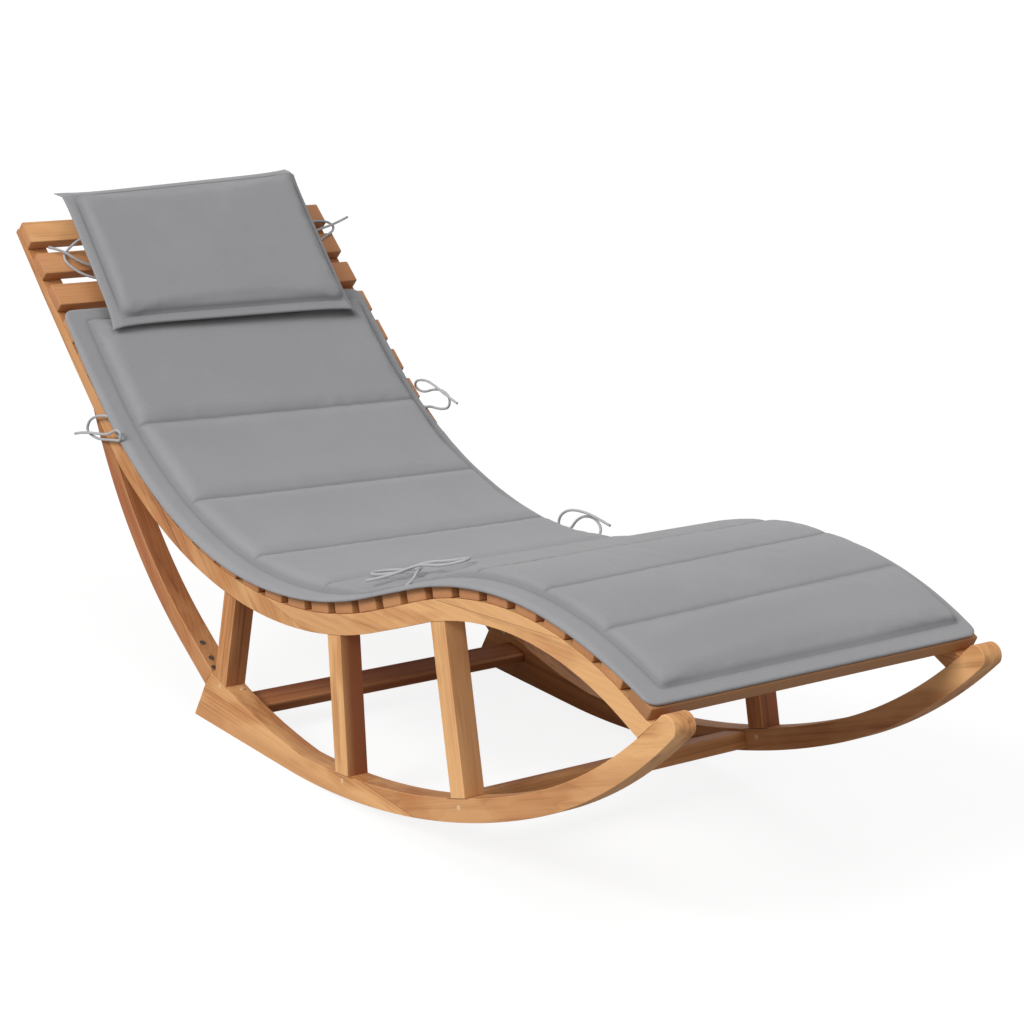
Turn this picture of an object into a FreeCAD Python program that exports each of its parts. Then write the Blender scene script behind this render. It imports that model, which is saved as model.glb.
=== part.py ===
# Rocking chaise lounge: S-shaped slatted bed on two curved runners, with a quilted mat and a
# tied-on head pillow.  Millimetres, +X towards the foot, +Y across, +Z up.
# Everything along the bed is set out by its distance s down the bearing line, the top edge
# of the side rails on which the slats lie, and by its height h square to that line.
import FreeCAD, Part
import math
import os

V = FreeCAD.Vector

# overall
width = 600.0               # length of a slat, over both rails
member = 36.0               # thickness of rails, legs, runners and posts across the chair

# bearing line, walked from the head end to the foot
head_x, head_z = -962.0, 661.0
head_pitch = -39.0          # slope of the upper back, degrees
back_straight = 381.0       # straight upper back
seat_radius = 758.0         # hollow of the seat
seat_sweep = 62.5
thigh_straight = 114.0      # rise towards the knee
knee_radius = 577.0         # crown under the knees
knee_sweep = 46.5
rail_past_slats = 40.0      # bare rail beyond the last slat

# side rails
rail_head = -16.0           # the rail's head end on the bearing line
rail_depth = 31.0
rail_head_depth = 9.0       # the rail thins towards the head
rail_taper = 470.0          # length of that taper
rail_mid_depth = 21.0       # depth half way along it
back_scarf = (909.0, 1026.0)    # where the scarf crosses the rail's top and lower edge
knee_block = (1362.0, 1638.0)  # ends of the block glued on to make the crown
knee_block_heel = 1.2           # the block's feather ends are this thick

# slats
slat_count = 29
slat_width = 45.0
slat_thick = 20.0
slat_first = -14.0          # first slat's head edge on the bearing line
slat_pitch = 68.6           # first slat to the second
slat_closing = 0.332        # each further step is this much shorter
slat_ease = 2.2             # chamfer along its four edges

# runners
heel_x = -357.5             # rear end of the flat that the chair rests on
runner_flat = 259.0
runner_radius = 1350.0
runner_sweep = 26.1
toe_radius = 808.0
toe_sweep = 24.8
runner_depth = 34.0
heel_depth = 78.0           # height of the runner's top at the rear post
heel_span = 232.0           # length over which the heel thins to the runner's depth
heel_hollow = 6.5           # hollow of that slope
toe_round = 13.0
runner_scarf = (464.0, 602.0)   # scarf on the runner's top edge and underside

# rear legs, walked up from the foot's rear edge
leg_x, leg_z = -329.7, 59.1
leg_pitch = 148.4
leg_straight = 89.0
leg_radius = 838.0
leg_sweep = 29.7
leg_overlap = 70.0          # straight end beyond the rail, before it is scribed
leg_depth = 31.8

# posts between runner and rail: x of the axis at the runner's top, lean (+ leans to the foot)
post_wide = 33.0
posts = {"rear": (-286.0, 7.4), "middle": (54.0, -10.3), "front": (334.8, -16.6)}
tenon_thick = 12.0
tenon_wide = 22.0
tenon_long = 20.0
rail_tenon_long = 16.0

# crossbars between the runners: x of the centre, share of the way up the runner
crossbar_wide = 46.0
rear_bar_x, rear_bar_up, rear_bar_thick = -259.0, 46.0, 18.0
front_bar_x, front_bar_up, front_bar_thick = 299.0, 17.0, 26.0
bar_tenon_wide = 30.0
bar_tenon_thick = 12.0
bar_tenon_long = 24.0

# dowel pins
pin_d = 8.0
pin_sides = 8               # faces round a pin
pin_down = 9.0              # pin below the runner's top edge
bar_pin_long = 34.0
bar_pin_back = 8.0          # its head from the crossbar's middle
bar_pin_down = 1.5          # and below the heel's slope

# mat
mat_clear = 0.7             # over the bearing line's slat tops
mat_head = 187.0            # head edge of the mat, on the bearing line
mat_foot_back = 1.5         # foot edge short of the last slat's
mat_inset = 4.0             # half of what the mat is narrower than the slats
mat_shift = -4.0            # the mat lies this far off the middle
flange = 33.0
flange_thick = 5.0
pad_thick = 31.0            # crown over the flange's underside
seam_thick = 17.0           # in the cross seams
side_thick = 12.0           # drawn-in sides
side_valley = 8.4           # a cross seam at the sides
end_thick = 7.2             # the padding's head and foot ends
# rise of the padding from its sides: flange widths in, share of the crown, share of the seam
pad_rise = ((0.5, 0.74, 0.8), (1.6, 0.95, 1.0))
mat_corner = 18.0
seams = (448.0, 648.0, 852.0, 1050.0, 1240.0, 1423.0, 1553.0, 1677.0)

# pillow
pillow_long = 492.0
pillow_high = 300.0
pillow_mid = 99.0           # its middle on the bearing line
pillow_clear = 0.4          # over the slats
pillow_tilt = -4.6          # its upper edge stands further out
pillow_flange = 25.0
pillow_flange_thick = 4.0
pillow_crown = 42.0
pillow_belly = 25.0
pillow_draw = 7.0           # edges drawn in between the corners
pillow_corner = 30.0        # rounding of the padding
# the padding's outlines: share of crown or belly, and how much smaller each outline is
pillow_rings = ((-1.0, 112.0), (-0.86, 70.0), (-0.55, 30.0), (0.0, 0.0), (0.48, 12.0),
                (0.8, 40.0), (0.95, 74.0), (1.0, 112.0))

# ties, soft cords knotted in bows
tie_d = 4.5
tie_sides = 5               # faces round a tie
tie_clear = 0.5
tie_off = 4.0               # a tie beside the bed hangs this far off the slats' ends


class Path:
    """Chain of lines and tangent arcs in the XZ plane, walked by distance."""

    def __init__(self, x, z, pitch, runs):
        self.runs = []
        s, h = 0.0, math.radians(pitch)
        for radius, amount in runs:             # radius 0 is a line
            turn = math.radians(amount) if radius else 0.0
            length = radius * abs(turn) if radius else amount
            self.runs.append((s, x, z, h, radius, turn, length))
            x, z, h = self._walk(self.runs[-1], length)
            s += length
        self.length = s

    def _walk(self, run, d):
        s, x, z, h, radius, turn, length = run
        if not radius:
            return x + d * math.cos(h), z + d * math.sin(h), h
        k = math.copysign(1.0 / radius, turn)
        return (x + (math.sin(h + k * d) - math.sin(h)) / k,
                z - (math.cos(h + k * d) - math.cos(h)) / k, h + k * d)

    def at(self, s):
        run = [r for r in self.runs if r[0] <= s + 1e-9] or self.runs[:1]
        return self._walk(run[-1], s - run[-1][0])

    def point(self, s, h=0.0, y=0.0):
        x, z, a = self.at(s)
        return V(x - h * math.sin(a), y, z + h * math.cos(a))

    def edges(self, s0, s1, h=0.0, y=0.0):
        """Edges parallel to the path at height h, from s0 to s1."""
        cuts = [s0] + [r[0] for r in self.runs[1:] if s0 + 1e-6 < r[0] < s1 - 1e-6] + [s1]
        out = []
        for a, b in zip(cuts, cuts[1:]):
            run = [r for r in self.runs if r[0] <= (a + b) / 2] or self.runs[:1]
            p, q = self.point(a, h, y), self.point(b, h, y)
            if run[-1][4]:
                out.append(Part.Arc(p, self.point((a + b) / 2, h, y), q).toShape())
            else:
                out.append(Part.LineSegment(p, q).toShape())
        return out

    def s_at_x(self, x):
        lo, hi = -200.0, self.length + 200.0
        for _ in range(60):
            mid = (lo + hi) / 2
            lo, hi = (mid, hi) if self.at(mid)[0] < x else (lo, mid)
        return lo


def line(p, q):
    return Part.LineSegment(p, q).toShape()


def slab(edges, y0, y1):
    """Solid between two planes across the chair, from a closed outline in XZ."""
    wire = Part.Wire(Part.__sortEdges__(edges))
    return moved(Part.Face(wire).extrude(V(0, y1 - y0, 0)), V(0, y0, 0))


def moved(shape, offset):
    shape = shape.copy()
    shape.translate(offset)
    return shape


def polygon(points, y0, y1):
    return slab([line(a, b) for a, b in zip(points, points[1:] + points[:1])], y0, y1)


def band(path, s0, s1, h0, h1, y0, y1):
    """Curved board that follows a path."""
    edges = path.edges(s0, s1, h0) + path.edges(s0, s1, h1)
    edges += [line(path.point(s0, h0), path.point(s0, h1)),
              line(path.point(s1, h0), path.point(s1, h1))]
    return slab(edges, y0, y1)


def block(centre, pitch, long, wide, thick, chamfer=0.0):
    """Board with its middle at centre: long across the chair, wide along the slope."""
    box = Part.makeBox(wide, long, thick, V(-wide / 2, -long / 2, -thick / 2))
    if chamfer:
        box = box.makeChamfer(chamfer, [e for e in box.Edges
                                        if abs(e.BoundBox.YLength - long) < 1e-6])
    box.rotate(V(0, 0, 0), V(0, 1, 0), -pitch)
    box.translate(centre)
    return box


def ring(at, along, across, diameter, sides):
    """Closed outline of a faceted rod, square to its line."""
    out = FreeCAD.Vector(along).cross(across).normalize() * (diameter / 2)
    turned = [at + FreeCAD.Rotation(along, 360.0 * k / sides).multVec(out) for k in range(sides)]
    return Part.makePolygon(turned + turned[:1])


def pin(at, along):
    """Dowel pin from at to at + along."""
    return Part.Face(ring(at, along, V(1, 0, 0), pin_d, pin_sides)).extrude(along)


def cut(shape, *tools):
    for tool in tools:
        shape = shape.cut(tool)
    return shape


def mirror(shape):
    return shape.mirror(V(0, 0, 0), V(0, 1, 0))


# the paths
bearing = Path(head_x, head_z, head_pitch,
               [(0, back_straight), (seat_radius, seat_sweep), (0, thigh_straight),
                (knee_radius, -knee_sweep), (0, 400.0)])
sole = Path(heel_x, 0.0, 0.0,
            [(0, runner_flat), (runner_radius, runner_sweep), (toe_radius, toe_sweep)])
leg_line = Path(leg_x, leg_z, leg_pitch,
                [(0, leg_straight), (leg_radius, -leg_sweep), (0, leg_overlap)])


def slat_start(i):
    """Head edge of slat i on the bearing line; the slats stand closer towards the foot."""
    return slat_first + i * slat_pitch - slat_closing * i * (i - 1) / 2


bed_end = slat_start(slat_count - 1) + slat_width
rail_end = bed_end + rail_past_slats
near = -width / 2           # outer face of the near side
inner = near + member

parts = {}

# runner: heel that thins to an even depth, then a rounded toe
heel_end = heel_span + sole.s_at_x(posts["rear"][0])
x_post, x_heel = posts["rear"][0], sole.point(heel_end).x
leg_foot = leg_line.point(0)
leg_toe = leg_line.point(0, -leg_depth)
heel_top = V(x_post, 0, heel_depth)
slope = (sole.point(heel_end, runner_depth).z - heel_depth) / (x_heel - x_post)
heel_back = V(leg_toe.x, 0, leg_toe.z)
heel_mid = V((x_post + x_heel) / 2, 0, heel_depth + slope * (x_heel - x_post) / 2 - heel_hollow)
toe = sole.length - toe_round
runner_edges = sole.edges(0, toe)
runner_edges += [Part.Arc(sole.point(toe), sole.point(sole.length, runner_depth / 2),
                          sole.point(toe, runner_depth)).toShape()]
runner_edges += sole.edges(heel_end, toe, runner_depth)
runner_edges += [Part.Arc(sole.point(heel_end, runner_depth), heel_mid, heel_top).toShape(),
                 line(heel_top, heel_back), line(heel_back, leg_foot),
                 line(leg_foot, sole.point(0))]
runner = slab(runner_edges, near, inner)

# rail: even board with a thinned head, seated on the runner's toe
taper_mid = bearing.point((rail_head + rail_taper) / 2, -rail_mid_depth)
rail_edges = bearing.edges(rail_head, rail_end) + bearing.edges(rail_taper, rail_end, -rail_depth)
rail_edges += [Part.Arc(bearing.point(rail_taper, -rail_depth), taper_mid,
                        bearing.point(rail_head, -rail_head_depth)).toShape(),
               line(bearing.point(rail_head, -rail_head_depth), bearing.point(rail_head)),
               line(bearing.point(rail_end), bearing.point(rail_end, -rail_depth))]
rail = slab(rail_edges, near, inner).cut(runner)
rail = max(rail.Solids, key=lambda s: s.Volume)
above_rail = band(bearing, rail_head, rail_end, -rail_head_depth / 2, seat_radius / 2, near, inner)
above_rail = above_rail.fuse(rail)

# leg: scribed to the rail's underside, butted on the runner's heel
leg = cut(band(leg_line, 0, leg_line.length, 0, -leg_depth, near, inner), above_rail, runner)
leg = max(leg.Solids, key=lambda s: s.Volume)

# posts, shouldered on runner and rail, with a tenon into each
mid_y = near + member / 2
pins = []
post_solids = {}
mortises = []
for name, (x, lean) in posts.items():
    s = sole.s_at_x(x)
    foot = V(x, mid_y, heel_depth if name == "rear" else sole.point(s, runner_depth).z)
    a = math.radians(lean)
    up = V(math.sin(a), 0, math.cos(a))

    def stick(low, high, wide, thick):
        box = Part.makeBox(wide, thick, high - low, V(-wide / 2, -thick / 2, low))
        box.rotate(V(0, 0, 0), V(0, 1, 0), lean)
        box.translate(foot)
        return box

    body = cut(stick(-runner_depth, head_z, post_wide, member), runner, above_rail)
    body = max(body.Solids, key=lambda q: q.Volume)
    shoulder = [v.Point for v in body.Vertexes]
    heights = [(p - foot).dot(up) for p in shoulder]
    top = max(heights)
    tenon_top = min(h for h in heights if h > top / 2) + rail_tenon_long
    tenon = stick(-tenon_long, tenon_top, tenon_wide, tenon_thick)
    mortises.append(tenon)
    solid = body.fuse(tenon).removeSplitter()
    post_solids[name] = solid.Solids[0]
    pin_at = foot - up * pin_down
    pins.append(pin(V(pin_at.x, near, pin_at.z), V(0, member, 0)))

# crossbars, tenoned into the runners
bars = {}
for name, x, up_z, thick in (("rear", rear_bar_x, rear_bar_up, rear_bar_thick),
                             ("front", front_bar_x, front_bar_up, front_bar_thick)):
    s = sole.s_at_x(x)
    base = sole.point(s)
    pitch = math.degrees(sole.at(s)[2]) if name == "front" else math.degrees(math.atan(slope))
    a = math.radians(pitch)
    centre = V(x, 0, base.z) + V(-math.sin(a), 0, math.cos(a)) * up_z
    bar = block(centre, pitch, width - 2 * member, crossbar_wide, thick, slat_ease)
    tenon = block(centre, pitch, width - 2 * member + 2 * bar_tenon_long, bar_tenon_wide,
                  bar_tenon_thick)
    mortises.append(tenon)
    bars[name] = bar.fuse(tenon).removeSplitter().Solids[0]
    if name == "rear":
        top = V(centre.x - bar_pin_back, inner - bar_tenon_long / 2, 0)
        down = V(math.sin(a), 0, -math.cos(a))
        start = V(top.x, top.y, heel_depth + slope * (top.x - x_post) - bar_pin_down)
        pins.append(pin(start, down * bar_pin_long))

runner = cut(runner, *(mortises + pins))
rail = cut(rail, *mortises)
post_solids = {k: cut(v, *pins).Solids[0] for k, v in post_solids.items()}
bars = {k: cut(v, *(pins + [mirror(p) for p in pins])).Solids[0] for k, v in bars.items()}

# the rail is glued up from a back board, a seat board and a block that makes the crown
p, q = bearing.point(back_scarf[0], 1.0), bearing.point(back_scarf[1], -rail_depth - 1.0)
far_off = bearing.length
back_half = polygon([p, q, q - V(0, 0, far_off), q - V(far_off, 0, far_off),
                     p + V(-far_off, 0, far_off), p + V(0, 0, far_off)], near, inner)
p = bearing.point(knee_block[0], -knee_block_heel)
q = bearing.point(knee_block[1], -knee_block_heel)
p0 = bearing.point(knee_block[0], 2 * rail_depth)
q0 = bearing.point(knee_block[1], 2 * rail_depth)
knee_half = polygon([p, q, q0, p0], near, inner)
rail_back = rail.common(back_half)
rail_rest = rail.cut(back_half)
rail_knee = rail_rest.common(knee_half)
rail_seat = rail_rest.cut(knee_half)
rails = {"back": rail_back, "seat": rail_seat, "knee_block": rail_knee}
rails = {k: max(v.Solids, key=lambda s: s.Volume) for k, v in rails.items()}

# the runner is glued up from a heel board and a toe board
p = sole.point(runner_scarf[0], runner_depth + 1.0)
q = sole.point(runner_scarf[1], -1.0)
far_off = sole.length
heel_half = polygon([p, q, q - V(0, 0, far_off), q - V(far_off, 0, far_off),
                     p + V(-far_off, 0, far_off), p + V(0, 0, far_off)], near, inner)
runners = {"heel": runner.common(heel_half), "toe": runner.cut(heel_half)}
runners = {k: max(v.Solids, key=lambda s: s.Volume) for k, v in runners.items()}

for side, flip in (("near", False), ("far", True)):
    place = mirror if flip else (lambda s: s)
    for k, v in rails.items():
        parts["rail_%s_%s" % (side, k)] = place(v)
    for k, v in runners.items():
        parts["runner_%s_%s" % (side, k)] = place(v)
    for k, v in post_solids.items():
        parts["post_%s_%s" % (side, k)] = place(v)
    parts["leg_%s" % side] = place(leg)
for k, v in bars.items():
    parts["crossbar_%s" % k] = v
parts["dowel_pins"] = Part.Compound(pins + [mirror(p) for p in pins])

# slats: each lies on the rail's curve, on its two edges in the hollow, on its middle on the crown
for i in range(slat_count):
    s0 = slat_start(i)
    a, b = bearing.point(s0), bearing.point(s0 + slat_width)
    chord = b - a
    pitch = math.atan2(chord.z, chord.x)
    up = V(-math.sin(pitch), 0, math.cos(pitch))
    bulge = max(0.0, (bearing.point(s0 + slat_width / 2) - a).dot(up))
    centre = (a + b) * 0.5 + up * (slat_thick / 2 + bulge)
    parts["slat_%02d" % (i + 1)] = block(centre, math.degrees(pitch), width, slat_width,
                                         slat_thick, slat_ease)

mat_width = width - 2 * mat_inset

# mat: thin flange all round, padded panels between cross seams, crowned and drawn in
mat_foot = bed_end - mat_foot_back
under = slat_thick + mat_clear
cuts = [mat_head + flange] + list(seams) + [mat_foot - flange]


def mat_section(y, crown, valley):
    """Outline of the padding at one station across: flat below, an arc per panel above."""
    y += mat_shift
    edges = bearing.edges(cuts[0], cuts[-1], under + flange_thick / 2, y)
    for a, b in zip(cuts, cuts[1:]):
        lo_a = valley if a != cuts[0] else end_thick
        lo_b = valley if b != cuts[-1] else end_thick
        edges.append(Part.Arc(bearing.point(a, under + lo_a, y),
                              bearing.point((a + b) / 2, under + crown, y),
                              bearing.point(b, under + lo_b, y)).toShape())
    for s in (cuts[0], cuts[-1]):
        edges.append(line(bearing.point(s, under + flange_thick / 2, y),
                          bearing.point(s, under + end_thick, y)))
    return Part.Wire(Part.__sortEdges__(edges))


pad_edge = mat_width / 2 - flange
stations = [(-pad_edge, side_thick, side_valley)]
stations += [(-pad_edge + flange * a, pad_thick * c, seam_thick * v) for a, c, v in pad_rise]
stations += [(0.0, pad_thick, seam_thick)]
stations += [(-y, c, v) for y, c, v in reversed(stations[:-1])]
pad = Part.makeLoft([mat_section(*st) for st in stations], True, True)
sheet = band(bearing, mat_head, mat_foot, under, under + flange_thick,
             mat_shift - mat_width / 2, mat_shift + mat_width / 2)
for s, sign in ((mat_head, 1), (mat_foot, -1)):
    for side in (-1, 1):
        a = bearing.at(s + sign * mat_corner / 2)[2]
        up = V(-math.sin(a), 0, math.cos(a))
        pitch = math.degrees(a)
        axis = bearing.point(s + sign * mat_corner, under,
                             mat_shift + side * (mat_width / 2 - mat_corner))
        square = block(axis + V(-sign * math.cos(a), 0, -sign * math.sin(a)) * mat_corner
                       + V(0, side * mat_corner, 0), pitch, 2 * mat_corner, 2 * mat_corner,
                       2 * mat_corner)
        disc = Part.makeCylinder(mat_corner, 2 * mat_corner, axis - up * mat_corner, up)
        sheet = sheet.cut(square.cut(disc))
mat = sheet.fuse(pad).removeSplitter()
parts["mat_cushion"] = max(mat.Solids, key=lambda s: s.Volume)


# pillow: flange with drawn-in edges and pointed corners, padding lofted from rounded outlines
def pillow_ring(long, high, corner, z):
    """Rectangle with faceted round corners, at height z in the pillow's own frame."""
    corners = []
    for k, (sx, sy) in enumerate(((1, 1), (-1, 1), (-1, -1), (1, -1))):
        for turn in (0, 30, 60, 90):
            a = math.radians(90 * k + turn)
            corners.append(V(sx * (high / 2 - corner) + corner * math.cos(a),
                             sy * (long / 2 - corner) + corner * math.sin(a), z))
    return Part.makePolygon(corners + corners[:1])


a, b, d = pillow_high / 2, pillow_long / 2, pillow_draw
corners = [V(-a, -b, 0), V(a, -b, 0), V(a, b, 0), V(-a, b, 0)]
middles = [V(0, -b + d, 0), V(a - d, 0, 0), V(0, b - d, 0), V(-a + d, 0, 0)]
outline = Part.Wire([Part.Arc(corners[i], middles[i], corners[(i + 1) % 4]).toShape()
                     for i in range(4)])
cloth = moved(Part.Face(outline).extrude(V(0, 0, pillow_flange_thick)),
              V(0, 0, -pillow_flange_thick / 2))
inner_long = pillow_long - 2 * (pillow_flange + d)
inner_high = pillow_high - 2 * (pillow_flange + d)
rings = []
for share, shrink in pillow_rings:
    z = share * (pillow_crown if share > 0 else pillow_belly)
    rings.append(pillow_ring(inner_long - shrink, inner_high - shrink, pillow_corner, z))
filling = Part.makeLoft(rings, True, True)
pillow = cloth.fuse(filling).removeSplitter()
x, z, a = bearing.at(pillow_mid)
pillow.rotate(V(0, 0, 0), V(0, 1, 0), -math.degrees(a) - pillow_tilt)
t = math.radians(abs(pillow_tilt))
pillow_lift = (slat_thick + pillow_clear + pillow_belly * math.cos(t)
               + (inner_high - pillow_rings[0][1]) / 2 * math.sin(t))
pillow.translate(bearing.point(pillow_mid, pillow_lift))
parts["head_pillow"] = max(pillow.Solids, key=lambda s: s.Volume)


# ties: straight runs joined by arcs as large as the runs allow
def tie(name, route):
    points = [bearing.point(s, h, y) for s, h, y in route]
    runs = [b - a for a, b in zip(points, points[1:])]
    path, start, length, radii = [], points[0], 0.0, []
    for i in range(1, len(points) - 1):
        a, b = runs[i - 1], runs[i]
        turn = a.getAngle(b)
        back = 0.45 * min(a.Length, b.Length)
        radii.append(back / math.tan(turn / 2))
        into = points[i] - a.normalize() * back
        out = points[i] + b.normalize() * back
        a, b = points[i] - points[i - 1], points[i + 1] - points[i]
        runs[i - 1], runs[i] = a, b
        centre_way = (into + out) * 0.5 - points[i]
        radius = radii[-1]
        middle = points[i] + centre_way.normalize() * (radius / math.cos(turn / 2) - radius)
        path += [line(start, into), Part.Arc(into, middle, out).toShape()]
        length += (into - start).Length + radius * turn
        start = out
    path.append(line(start, points[-1]))
    length += (points[-1] - start).Length
    end = ring(points[0], points[1] - points[0], V(0, 0, 1), tie_d, tie_sides)
    tube = Part.Wire(path).makePipeShell([end], True, False)
    area = tie_sides / 2 * math.sin(2 * math.pi / tie_sides) * (tie_d / 2) ** 2
    ratio = tube.Volume / (area * length)
    print("%s: length %.0f mm, least radius %.1f mm, volume over section x length %.4f, radii %s"
          % (name, length, min(radii), ratio, " ".join("%.0f" % r for r in radii)))
    parts[name] = tube


def on_mat(s, y, layer):
    """A point of a cord that lies on the mat, in its first, second or third layer."""
    top, off = flange_thick, -abs(y - mat_shift)
    for (y0, c0, v0), (y1, c1, v1) in zip(stations, stations[1:]):
        if y0 <= off <= y1:
            top = c0 + (c1 - c0) * (off - y0) / (y1 - y0)
    return s, under + top + tie_clear + tie_d / 2 + layer * (tie_d + tie_clear), y


low = slat_thick + tie_clear + tie_d / 2        # lying on a slat
over = low + tie_d + 2 * tie_clear              # crossing over itself
tie("tie_pillow_near", [
    (48, 49.7, -214), (50, 38, -228), (56, low + 3, -243), (66, low, -254), (79, low, -256),
    (94, low, -249), (108, low, -237), (120, low + 1, -219), (123, low + 2, -200),
    (110, low + 3, -191), (100, low + 4, -206), (92, low + 5, -224), (80, over, -240),
    (67, over + 1, -251), (57, over, -263), (49, low + 3, -277)])
tie("tie_pillow_far", [
    (46, 49.7, 214), (40, 38, 230), (32, low + 3, 252), (28, low, 276), (30, low, 298),
    (42, low, 309), (55, low, 300), (63, low, 282), (73, low, 264), (83, low, 245),
    (85, low + 1.5, 226), (71, low + 3, 217), (62, low + 4, 232), (57, over, 253),
    (51, over, 275), (45, over + 1, 298), (38, over, 318), (31, over + 4, 340)])
near_hem = mat_shift - mat_width / 2 - tie_clear
far_hem = mat_shift + mat_width / 2 + tie_clear
side = width / 2 + tie_clear + tie_d / 2 + tie_off
away = side + tie_d + 2 * tie_clear             # crossing over itself beside the bed
edge_h = under + flange_thick / 2
tie("tie_mat_head_near", [
    (401, edge_h, near_hem), (397, edge_h - 3, -side + 1), (388, 7, -side),
    (376, -14, -side), (367, -36, -side), (372, -56, -side), (388, -49, -side),
    (404, -37, -side), (422, -17, -side), (438, 1, -side), (452, 15, -side - 1),
    (457, 25, -side - 4), (449, 29, -away), (439, 18, -away), (426, 1, -away),
    (410, -16, -away), (394, -34, -away), (379, -53, -away), (365, -72, -away),
    (352, -92, -side)])
tie("tie_mat_head_far", [
    (467, edge_h, far_hem), (467, edge_h + 0.5, far_hem + 6), (468, edge_h + 1, side - 1),
    (476, 27, away),
    (491, 38, away), (502, 53, away), (493, 67, away), (475, 66, away), (457, 56, away),
    (443, 41, away), (433, 25, away), (420, 13, away - 1), (407, 13, side),
    (406, 26, side - 3), (416, 40, side - 4), (431, 53, side - 4), (452, 62, side - 4),
    (476, 68, side - 3), (499, 74, side - 2), (522, 79, side)])
tie("tie_mat_middle_far", [
    (979, edge_h, far_hem), (979, edge_h + 1, far_hem + 6), (980, edge_h + 2, side - 1),
    (980, 38, away),
    (969, 49, away), (950, 54, away), (927, 50, away), (909, 38, away), (898, 22, away),
    (886, 12, side + 1), (873, 18, side - 2), (873, 34, side - 3), (885, 48, side - 4),
    (904, 57, side - 4), (930, 61, side - 4), (957, 60, side - 3), (984, 55, side - 2),
    (1008, 48, side)])
tie("tie_mat_middle_near", [on_mat(*q) for q in [
    (1278, -284, 0), (1270, -268, 0), (1259, -248, 0), (1243, -230, 0), (1219, -212, 0),
    (1184, -193, 0), (1142, -180, 0), (1102, -175, 0), (1078, -184, 0), (1072, -203, 0),
    (1090, -217, 0), (1126, -223, 0), (1166, -224, 0), (1204, -224, 0.5), (1237, -224, 1.2),
    (1268, -222, 1), (1300, -218, 0.2), (1332, -217, 0), (1358, -225, 0), (1368, -242, 0),
    (1352, -255, 0), (1322, -251, 0), (1291, -246, 0.6), (1260, -240, 1.4), (1228, -238, 1.2),
    (1196, -240, 0.4), (1162, -243, 0), (1128, -250, 0)]])

# origin: middle of the chair's box without the ties, on the floor
box = FreeCAD.BoundBox()
for name, shape in parts.items():
    if not name.startswith("tie_"):
        box.add(shape.BoundBox)
shift = V(-(box.XMin + box.XMax) / 2, 0, -box.ZMin)
print("box %.1f x %.1f x %.1f, origin shifted %.2f %.2f"
      % (box.XLength, box.YLength, box.ZLength, shift.x, shift.z))

os.makedirs("parts", exist_ok=True)
for name, shape in parts.items():
    moved(shape, shift).exportStep("parts/%s.step" % name)
print("%d nodes" % len(parts))
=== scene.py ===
"""Rocking chaise lounge: a slatted bed on curved runners, with a quilted mat and a head pillow."""

import math

import bmesh
import bpy
from bpy.props import FloatProperty, FloatVectorProperty, IntProperty, PointerProperty
from mathutils import Euler, Matrix, Vector, noise
from mathutils.bvhtree import BVHTree


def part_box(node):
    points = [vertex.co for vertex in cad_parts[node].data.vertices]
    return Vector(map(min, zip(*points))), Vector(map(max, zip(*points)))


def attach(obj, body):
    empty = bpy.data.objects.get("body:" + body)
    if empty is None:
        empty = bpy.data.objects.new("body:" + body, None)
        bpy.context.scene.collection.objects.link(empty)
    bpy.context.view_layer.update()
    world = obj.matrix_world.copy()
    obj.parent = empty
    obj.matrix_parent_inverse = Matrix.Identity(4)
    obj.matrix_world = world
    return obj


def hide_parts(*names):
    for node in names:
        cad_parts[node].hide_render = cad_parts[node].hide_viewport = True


bl_info = {
    "name": "Rocking Chaise Lounge",
    "version": (1, 0, 0),
    "blender": (4, 5, 0),
    "location": "View3D > Sidebar > Chaise",
    "description": "Dresses a slatted rocking lounger: timber, mat, pillow, ties and screws",
    "category": "Object",
}

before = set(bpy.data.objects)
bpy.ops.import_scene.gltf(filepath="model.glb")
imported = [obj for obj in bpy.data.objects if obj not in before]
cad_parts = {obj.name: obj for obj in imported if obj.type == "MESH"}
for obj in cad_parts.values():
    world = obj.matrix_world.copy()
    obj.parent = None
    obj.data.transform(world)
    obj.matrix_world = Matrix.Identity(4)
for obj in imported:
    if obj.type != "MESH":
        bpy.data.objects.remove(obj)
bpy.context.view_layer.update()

# the bed's line


class Bearing:
    """The line that the slats lie on, walked from the head end: straights and arcs, in metres.

    A place on the bed is s along the line, h square to it, and y across the chair.
    """

    START = (-0.85205, 0.661, math.radians(-39.0))
    RUNS = ((0.0, 0.381), (0.758, 62.5), (0.0, 0.114), (0.577, -46.5), (0.0, 0.4))

    def __init__(self):
        self.runs = []
        x, z, a = self.START
        s = 0.0
        for radius, amount in self.RUNS:
            turn = math.radians(amount) if radius else 0.0
            self.runs.append((s, x, z, a, radius, turn))
            length = radius * abs(turn) if radius else amount
            x, z, a = self.walk(self.runs[-1], length)
            s += length

    @staticmethod
    def walk(run, d):
        _, x, z, a, radius, turn = run
        if not radius:
            return x + d * math.cos(a), z + d * math.sin(a), a
        k = math.copysign(1.0 / radius, turn)
        return (x + (math.sin(a + k * d) - math.sin(a)) / k,
                z - (math.cos(a + k * d) - math.cos(a)) / k, a + k * d)

    def at(self, s):
        run = [r for r in self.runs if r[0] <= s] or self.runs[:1]
        return self.walk(run[-1], s - run[-1][0])

    def point(self, s, h=0.0, y=0.0):
        x, z, a = self.at(s)
        return Vector((x - h * math.sin(a), y, z + h * math.cos(a)))


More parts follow.
